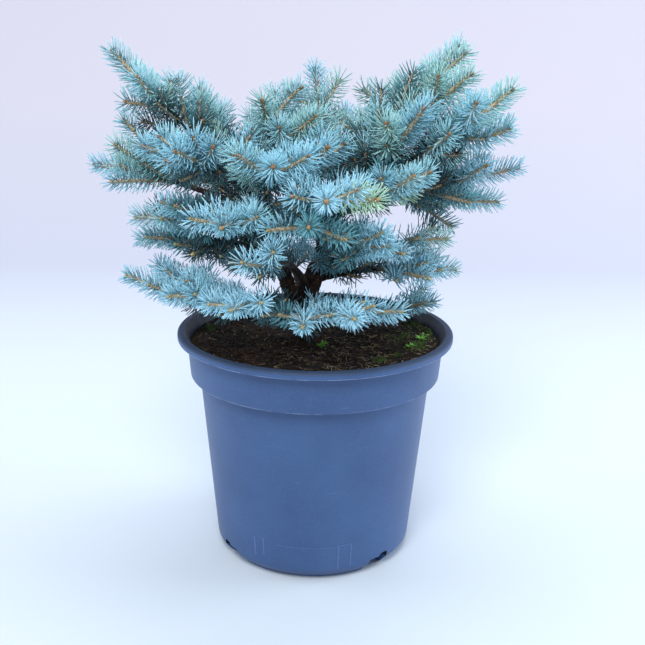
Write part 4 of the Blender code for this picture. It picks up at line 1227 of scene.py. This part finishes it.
# %% [markdown]
# ## Twigs
#
# A young spruce twig is straw coloured and grooved, with a peg under every needle, and turns dull brown in its
# second year. Each twig is a tube of six sides that tapers to its bud. The bare boughs are the same, thicker
# and in darker bark. The tubes are worked out as arrays and joined, because there are hundreds.


# %% Tubes from arrays
def joined_tubes(tubes, sides, knob):
    """Closed, tapering tubes from (line, root radius, tip radius), as one set of points and triangles."""
    corner = np.arange(sides)
    after = (corner + 1) % sides
    around = 2 * math.pi * corner / sides
    points, triangles, base = [], [], 0
    for line, root_radius, tip_radius in tubes:
        count = len(line)
        rows = frames_along(line)
        offset = rows[:, 1, None] * np.cos(around)[None, :, None] + rows[:, 2, None] * np.sin(around)[None, :, None]
        swell = 1 + knob * np.cos(np.arange(count)[:, None] * 2.4 + around[None] * 2)
        rings = line[:, None] + offset * (np.linspace(root_radius, tip_radius, count)[:, None] * swell)[..., None]
        points.append(np.concatenate([rings.reshape(-1, 3), line[:1], line[-1:]]))
        ring = base + np.arange(count - 1)[:, None] * sides
        a, b = (ring + corner).ravel(), (ring + after).ravel()
        start = np.full(sides, base + count * sides)
        last = start - sides
        triangles += [(a, b + sides, b), (a, a + sides, b + sides), (start, base + corner, base + after),
                      (start + 1, last + after, last + corner)]
        base += count * sides + 2
    return np.concatenate(points), np.concatenate([np.stack(corners, 1) for corners in triangles])


# %% Bough bark
bough_tubes = [(cut_line(arc, 0.001, begins + 0.006, 0.0022), 0.0034, 0.0023) for arc, begins in stems.values()]
points, triangles = joined_tubes(bough_tubes, 10, 0.10)
# Without a seed the vector noise starts from the clock, so each run would give another bark.
noise.seed_set(1)
points += np.array([noise.noise_vector(Vector(point) * 420) * 0.00028 for point in points])
piece_from_arrays("bough_bark", points, triangles, bark,
                  ["bough_" + bough.name for bough in BOUGHS if bough.bare])

# %% Twig bark
TWIG_SIDES = 6
TWIG_RADII = {"stem": (0.0024, 0.0014), "twin": (0.0020, 0.0013), "side": (0.0015, 0.0012), "weak": (0.0012, 0.0010)}
AGE_FROM, AGE_OVER = 0.036, 0.016

foliage_nodes = ["foliage_" + bough.name for bough in BOUGHS]
twig_tubes = [(cut_line(line, 0, lengths(line)[-1] - 0.0005, 0.0042), *TWIG_RADII[kind]) for _, line, kind in shoots]
points, triangles = joined_tubes(twig_tubes, TWIG_SIDES, 0.12)
ages = []
for line, _, _ in twig_tubes:
    age = np.clip((lengths(line)[-1] - lengths(line) - AGE_FROM) / AGE_OVER, 0, 1)
    ages.append(np.concatenate([age.repeat(TWIG_SIDES), age[:1], age[-1:]]))

# Cream and tan like a straw, dotted by the pegs, and dull brown where it is over a year old.
young_bark, place = new_finish("young_spruce_twig", 0.62, {"IOR": 1.45})
pegs = add_node(young_bark, "TexVoronoi", {"Scale": 900.0}, {"Vector": place})
age = add_node(young_bark, "Attribute", {"attribute_name": "tone"}).outputs["Fac"]
tint = add_node(young_bark, "ValToRGB", {"stops": ((0.10, "#DCC8A4"), (0.75, "#9A815C"))}, {"Fac": pegs})
feed(young_bark, add_node(young_bark, "Mix", {"data_type": "RGBA", 7: "#4E3C2D"}, {0: age, 6: tint}))
peg_bump = add_node(young_bark, "Bump", {"Strength": 0.6, "Distance": 0.0004, "invert": True}, {"Height": pegs})
feed(young_bark, peg_bump, "Normal")
piece_from_arrays("twigs", points, triangles, young_bark, foliage_nodes, np.concatenate(ages))

# %% [markdown]
# ## Needles
#
# Needles leave a twig in a spiral, each one 137.5 degrees on from the last, so no two stand in line. They
# start steeply, curve forward, and lean further forward towards the shoot's end, where they close round
# the bud like a star. They are 9 to 16 mm long, the longest high on the plant, and barely a millimetre
# thick. The plant has more of them, but these are enough to hide the twigs.

# %% Needles on one shoot
NEEDLE_LENGTH, NEEDLE_RADIUS = 0.0131, 0.00047
NEEDLES_PER_METRE = {"stem": 2500, "twin": 2500, "side": 2700, "weak": 2600}
YOUNG_LENGTH = 0.044
GOLDEN_TURN = math.radians(137.508)
LENGTH_ALONG = (0, 0.3, 0.85, 1), (0.78, 0.98, 0.98, 0.80)
LENGTH_BY_HEIGHT = (0.310, 0.370), (1.0, 1.15)
ROOT_ANGLE, ROOT_CLOSING = 76, 32
TIP_ANGLE, TIP_CLOSING = 60, 25
LIFT_TO_LIGHT, TIP_LIFT = (0, 0, 0.14), (0, 0, 0.05)
RAGGED = 0.0042


def along_shoot(share, along, rows):
    """The values between the rows of a shoot, at shares of its length."""
    return np.stack([np.interp(share, along, column) for column in rows.T], -1)


def leaning(outward, ahead, degrees):
    """Directions between outward, at 90 degrees, and ahead, at none."""
    angle = np.radians(degrees)[:, None]
    return outward * np.sin(angle) + ahead * np.cos(angle)


def needle_lines(line, kind, rng):
    """The root, bend and tip of every needle on a shoot, and how far along the shoot each stands."""
    total = lengths(line)[-1]
    count = int(total * NEEDLES_PER_METRE[kind])
    share = np.clip((np.arange(count) + 0.5) / count + rng.normal(0, 0.25 / count, count), 0, 1) ** 0.82
    along, rows = lengths(line) / total, frames_along(line)
    middle = along_shoot(share, along, line)
    ahead, across, upward = (along_shoot(share, along, rows[:, which]) for which in range(3))
    turn = np.arange(count) * GOLDEN_TURN + rng.normal(0, 0.12, count)
    outward = across * np.cos(turn)[:, None] + upward * np.sin(turn)[:, None] + LIFT_TO_LIGHT
    start = leaning(outward, ahead, ROOT_ANGLE - ROOT_CLOSING * share**6 + rng.normal(0, 5, count))
    end = leaning(outward, ahead, TIP_ANGLE - TIP_CLOSING * share**6 + rng.normal(0, 6, count)) + TIP_LIFT
    size = NEEDLE_LENGTH * np.interp(share, *LENGTH_ALONG) * rng.uniform(0.86, 1.08, count)
    half = (size * np.interp(middle[:, 2], *LENGTH_BY_HEIGHT) * 0.5)[:, None]
    roots = middle + outward * 0.0005
    bends = roots + start * half
    at_the_sides = np.abs(np.cos(turn)) > 0.86
    thinned = at_the_sides & (share < 0.86) & (rng.random(count) < 0.5)
    return tuple(values[~thinned] for values in (roots, bends, bends + end * half, share))


def needle_fits(bends, tips, rng):
    """Which needles stay out of the limbs, the pot, the peat and the crown's gaps, whose rims are ragged."""
    ragged = -np.abs(rng.normal(0, RAGGED, len(tips)))
    free = np.ones(len(tips), bool)
    for points in (bends, tips):
        x, y, z = points.T
        clear = (segment_distances(points, limb_starts, limb_ends) - limb_room).min(axis=1) > 0.001
        in_pot = (np.hypot(x, y) < RIM_INNER_RADIUS - WALL - 0.001) & (z > soil_tilt(x, y) + 0.002)
        free &= clear & ((z > POT_HEIGHT + 0.0008) | in_pot) & ~in_open_air(points, ragged)
    return free


# %% [markdown]
# ## Which shoot gets which blue
#
# A blue spruce is green under a coat of pale wax. Last summer's growth carries most of it: further up and back
# it looks blue green, and at the front and low on the plant silver blue, which is partly its wax and partly
# painted light, for the lamps at the front and to lift the low shoots that get less of them. Shoots that others
# cover get darker needles, painted shade for the light that the crown keeps from them, and the older lengths of
# every stem have lost their wax and hold fewer, darker needles. Two shoots at the front have only just opened.
# So each spray gets one plain colour by its age, its place and its cover.

# %% Deal out the colours
TINTS = {
    "silver": ("#378491", "#AEE3F5"),
    "blue": ("#2F7380", "#9BD5E6"),
    "blue_green": ("#34767B", "#A3D8E2"),
    "grey_green": ("#397771", "#A7D9D5"),
    "teal": ("#194A4E", "#66A8B2"),
    "shade": ("#0D2421", "#35646C"),
    "fresh": ("#6FA583", "#C2E4C4"),
}
FRESH_TIPS = np.array(((0.039, -0.147, 0.326), (0.072, -0.052, 0.317)))
OLD_NEEDLES_LEFT = 0.6
PROBE_AWAY, PROBE_REACH = 0.027, 0.024

middles = (crown.starts + crown.ends) / 2
stretches = np.linalg.norm(crown.ends - crown.starts, axis=1)


def cover(point):
    """How much twig, in metres, stands between a point and the light from above and outside."""
    outward = np.array((point[0] + 0.005, point[1], 0))
    outward /= max(0.02, np.linalg.norm(outward))
    probe = point + (outward * 0.55 + (0, 0, 0.85)) * PROBE_AWAY
    return stretches[np.linalg.norm(middles - probe, axis=1) < PROBE_REACH].sum()


covers = np.array([cover(line[len(line) // 2]) for _, line, _ in shoots])
print("cover, from least to most", np.percentile(covers, [10, 30, 50, 70, 90]).round(3))
MOST_LIT, LEAST_LIT = np.percentile(covers, [30, 72])


def tint_of(line, young, shading, rng):
    """The colour of one spray, from its line, whether it is this year's, and how much covers it."""
    if young and np.linalg.norm(line[-1] - FRESH_TIPS, axis=1).min() < 0.010:
        return "fresh"
    # Cover darkens a spray as painted shade; the older lengths are darker for their lost wax.
    dark = (shading - MOST_LIT) / (LEAST_LIT - MOST_LIT) + rng.gauss(0, 0.18) + (0 if young else 0.85)
    if dark > 0.75:
        return "shade" if dark > 1.15 else "teal"
    # Paler blues at the front and low down: partly the wax, and partly painted light for the lamps at the front,
    # lifting the low sprays that get less light.
    _, y, z = line[len(line) // 2]
    front = min(1.0, max(0.0, (-y + 0.02) / 0.14))
    low = min(1.0, max(0.0, (0.33 - z) / 0.10))
    score = 0.50 * front + 0.42 * low + rng.gauss(0, 0.14)
    if score < 0.30:
        return "grey_green" if rng.random() < 0.42 else "blue_green"
    return "blue" if score < 0.62 else "silver"


sprays = {name: [] for name in TINTS}
deal_rng = random.Random(7)
for index, (mass, line, kind) in enumerate(shoots):
    needle_rng = np.random.default_rng(1000 + index)
    roots, bends, tips, share = needle_lines(line, kind, needle_rng)
    free = needle_fits(bends, tips, needle_rng)
    young = (1 - share) * lengths(line)[-1] < YOUNG_LENGTH
    kept_old = needle_rng.random(len(share)) < OLD_NEEDLES_LEFT
    for is_young, chosen in ((True, free & young), (False, free & ~young & kept_old)):
        if chosen.any():
            tint = tint_of(line, is_young, cover(roots[chosen].mean(axis=0)), deal_rng)
            own_tone = 0.5 * deal_rng.random() + 0.5 * needle_rng.random(chosen.sum())
            sprays[tint].append((mass, roots[chosen], bends[chosen], tips[chosen], own_tone))
for name, group in sprays.items():
    print(name, len(group), "sprays", sum(len(row[1]) for row in group), "needles")

# %% [markdown]
# ## Needle finish
#
# The wax is matt and scatters light, so the roughness is high and a little sheen brightens the edges. A
# needle is darker and greener where it leaves the twig, painted shade for the crowding there, and palest at its
# tip, and some shoots are paler than others. Both are kept as a tone on the points, which slides the colour
# between the tint's two ends, and fine noise breaks it up from needle to needle.

# %% Needle materials and pieces
MOST_NEEDLES = 12000
STATIONS, WIDTHS = (0.0, 0.46, 0.88), (0.75, 1.0, 0.78)
SHADED_ROOT_TONE_ALONG = np.array([0.0] * 3 + [0.55] * 3 + [0.9] * 3 + [1.0])


def needle_finish(name, deep, pale):
    """Matt, waxy needles, deep at the foot with painted shade and pale at the tip, with a soft bright edge."""
    material, place = new_finish("waxy_needles_" + name, 0.58,
                                 {"IOR": 1.43, "Sheen Weight": 0.12, "Sheen Roughness": 0.5})
    tone = add_node(material, "Attribute", {"attribute_name": "tone"}).outputs["Fac"]
    flecks = add_node(material, "TexNoise", {"Scale": 260.0, "Detail": 2.0}, {"Vector": place})
    both = add_node(material, "Math", {"operation": "MULTIPLY_ADD", 1: 0.8}, {0: tone, 2: flecks})
    feed(material, add_node(material, "ValToRGB", {"stops": ((0.55, deep), (1.0, pale))}, {"Fac": both}))
    return material


def needle_piece(name, material, group):
    """One piece from a group of sprays, which replaces the masses of foliage that they belong to."""
    masses, *parts = zip(*group)
    roots, bends, tips, own_tones = (np.concatenate(part) for part in parts)
    radii = np.full(len(roots), NEEDLE_RADIUS)
    points, triangles = strips(roots, bends, tips, radii, stations=STATIONS, widths=WIDTHS)
    # Each needle's tone rises from its foot, darkened with painted shade, to its pale tip.
    tones = (own_tones[:, None] * 0.5 + SHADED_ROOT_TONE_ALONG[None] * 0.5).ravel()
    nodes = sorted({"foliage_" + mass for mass in masses})
    piece_from_arrays(name, points, triangles, material, nodes, tones)


for name, (deep, pale) in TINTS.items():
    groups, held = [[]], 0
    for row in sprays[name]:
        if held + len(row[1]) > MOST_NEEDLES:
            groups.append([])
            held = 0
        groups[-1].append(row)
        held += len(row[1])
    material = needle_finish(name, deep, pale)
    for number, group in enumerate(groups, 1):
        needle_piece(f"needles_{name}_{number}", material, group)

# %% [markdown]
# ## Buds
#
# Every shoot ends in a cluster of plump winter buds, wrapped in tan papery scales: one in the middle and one
# to three beside it. Seen end on they are the eye of each star. A bud is a small egg with six sides, made
# once with a spin and repeated at the end of every shoot.

# %% Buds
BUD_SIZES = {"stem": 0.00160, "twin": 0.00150, "side": 0.00135, "weak": 0.00110}
BUD_COUNTS = {"stem": 4, "twin": 4, "side": 4, "weak": 2}
BUD_SPREAD, SIDE_BUD_SIZE = 0.75, 0.72
TAN_BELOW, BROWN_ABOVE = 0.270, 0.350

bud_bm = spin_profile(((0, 0), (0.72, 0.15), (0.95, 0.9), (0.6, 1.6), (0, 2.2)), 6)
bud_shape, bud_triangles = shape_of(bud_bm)
bud_rng = np.random.default_rng(77)
buds, bud_tones = [], []
for _, line, kind in shoots:
    ahead, across, upward = frames_along(line)[-1]
    size = BUD_SIZES[kind] * bud_rng.uniform(0.85, 1.15)
    start = bud_rng.uniform(0, 2 * math.pi)
    for number in range(BUD_COUNTS[kind]):
        beside = number > 0
        angle = start + number * 2.1
        aim = unit(ahead + (across * math.cos(angle) + upward * math.sin(angle)) * BUD_SPREAD * beside)
        right = unit(np.cross(aim, (0.3, 0.2, 1.0)))
        turn = np.stack([right, np.cross(aim, right), aim], -1)
        root = line[-1] - ahead * (0.0006 + 0.0012 * beside) + aim * 0.0004 * beside
        buds.append(root + (bud_shape * size * (SIDE_BUD_SIZE if beside else 1.0)) @ turn.T)
        bud_tones.append(np.interp(root[2], (TAN_BELOW, BROWN_ABOVE), (0, 1)))

# Overlapping scales with pale rims and darker feet: straw coloured low on the plant, browner near its top.
papery, place = new_finish("papery_bud_scales", 0.55, {"IOR": 1.45})
scales = add_node(papery, "TexVoronoi", {"Scale": 1100.0}, {"Vector": place})
tone = add_node(papery, "Attribute", {"attribute_name": "tone"}).outputs["Fac"]
rim, foot = (add_node(papery, "Mix", {"data_type": "RGBA", 6: low, 7: high}, {0: tone})
             for low, high in (("#D6C48C", "#BE8C58"), ("#8E7444", "#5E3E26")))
feed(papery, add_node(papery, "Mix", {"data_type": "RGBA"}, {0: scales, 6: rim, 7: foot}))
feed(papery, add_node(papery, "Bump", {"Strength": 0.5, "Distance": 0.0003}, {"Height": scales}), "Normal")
piece_from_arrays("buds", np.concatenate(buds), repeated(bud_triangles, len(bud_shape), len(buds)), papery,
                  foliage_nodes, np.repeat(bud_tones, len(bud_shape)))

# %% [markdown]
# ## Dead twigs
#
# Inside the crown, where no light comes, spruce drops its needles and the twigs die. A few short ones stay
# on the trunk and the fork, dark and bent.

# %% Dead twigs on the trunk
# Rows of a height on the trunk and a length in millimetres, and an azimuth.
DEAD_TWIGS = ((201, 16, 300), (209, 12, 250), (217, 14, 350), (222, 11, 200), (206, 13, 160),
              (228, 12, 280), (215, 15, 90), (236, 12, 20), (196, 12, 40))

dead_rng = random.Random(3)
dead_tubes = []
for height, length, azimuth in DEAD_TWIGS:
    root = on_limb(LIMBS["trunk"], height / 1000)
    end = root + unit(polar(azimuth, 1.0, dead_rng.uniform(-0.1, 0.5))) * (length / 1000 + 0.008)
    bend = (root + end) / 2 + np.array((0, 0, dead_rng.uniform(-0.002, 0.002)))
    dead_tubes.append((bezier(root, bend, bend, end, 7), 0.0011, 0.0005))
points, triangles = joined_tubes(dead_tubes, 6, 0.15)
piece_from_arrays("dead_twigs", points, triangles, bark)

# %% [markdown]
# ## Floor and light
#
# The plant stands on a pale floor that rises into a plain backdrop in one curve, so no line cuts the
# picture. The light is soft and cool: a bright sky all round, one large lamp high at the front left, and a
# weaker one at the right.

# %% Floor
FLOOR_WIDTH, FLOOR_FRONT, FLOOR_BACK, WALL_HEIGHT = 8, -3, 1.2, 3.5

floor_bm = bmesh.new()
ends = [floor_bm.verts.new((x, FLOOR_FRONT, 0)) for x in (-FLOOR_WIDTH / 2, FLOOR_WIDTH / 2)]
edge = floor_bm.edges.new(ends)
for move in ((0, FLOOR_BACK - FLOOR_FRONT, 0), (0, 0, WALL_HEIGHT)):
    made = bmesh.ops.extrude_edge_only(floor_bm, edges=[edge])["geom"]
    ends = [item for item in made if isinstance(item, bmesh.types.BMVert)]
    edge = next(item for item in made if isinstance(item, bmesh.types.BMEdge) and all(v in ends for v in item.verts))
    bmesh.ops.translate(floor_bm, vec=move, verts=ends)
corner = [e for e in floor_bm.edges if all(abs(v.co.y - FLOOR_BACK) < 1e-4 and v.co.z < 0.1 for v in e.verts)]
round_off(floor_bm, corner, 0.9, 24)
bmesh.ops.recalc_face_normals(floor_bm, faces=floor_bm.faces[:])
floor = helper_object("floor", floor_bm)
floor.data.shade_smooth()
# Matt studio paper, light at the plant's foot and greyer where it rises behind.
paper, place = new_finish("backdrop_paper", 0.9)
rise = add_node(paper, "SeparateXYZ", links={"Vector": place}).outputs["Z"]
feed(paper, add_node(paper, "ValToRGB", {"stops": ((0, "#C9D3DA"), (0.08, "#B6B9C4"), (0.30, "#BFBBC3"))},
                     {"Fac": rise}))
floor.data.materials.append(paper)

# %% Light
SKY_COLOUR, SKY_STRENGTH = "#EAF1FF", 0.43
LAMPS = (
    ("key_lamp", (-0.25, -1.5, 1.9), (0, 0, 0.25), 0.9, 43, "#FBFCFF"),
    ("left_lamp", (-1.7, 0.2, 0.8), (0, 0, 0.15), 1.1, 13, "#E6F0FF"),
    ("right_lamp", (1.7, 0.2, 0.8), (0, 0, 0.15), 1.1, 24, "#E6F0FF"),
    ("top_lamp", (0.1, 0.5, 1.9), (0, 0, 0.3), 1.0, 14, "#F2F6FF"),
)

world = bpy.data.worlds.new("studio")
world.use_nodes = True
sky = world.node_tree.nodes["Background"].inputs
sky["Color"].default_value, sky["Strength"].default_value = linear(SKY_COLOUR), SKY_STRENGTH
bpy.context.scene.world = world
bpy.context.scene.view_settings.view_transform = "Standard"
for name, spot, aim, size, power, colour in LAMPS:
    lamp = bpy.data.lights.new(name, "AREA")
    lamp.size, lamp.energy, lamp.color = size, power, linear(colour)[:3]
    item = bpy.data.objects.new(name, lamp)
    item.location = spot
    item.rotation_euler = (Vector(aim) - Vector(spot)).to_track_quat("-Z", "Y").to_euler()
    bpy.context.scene.collection.objects.link(item)
print("lamps placed")
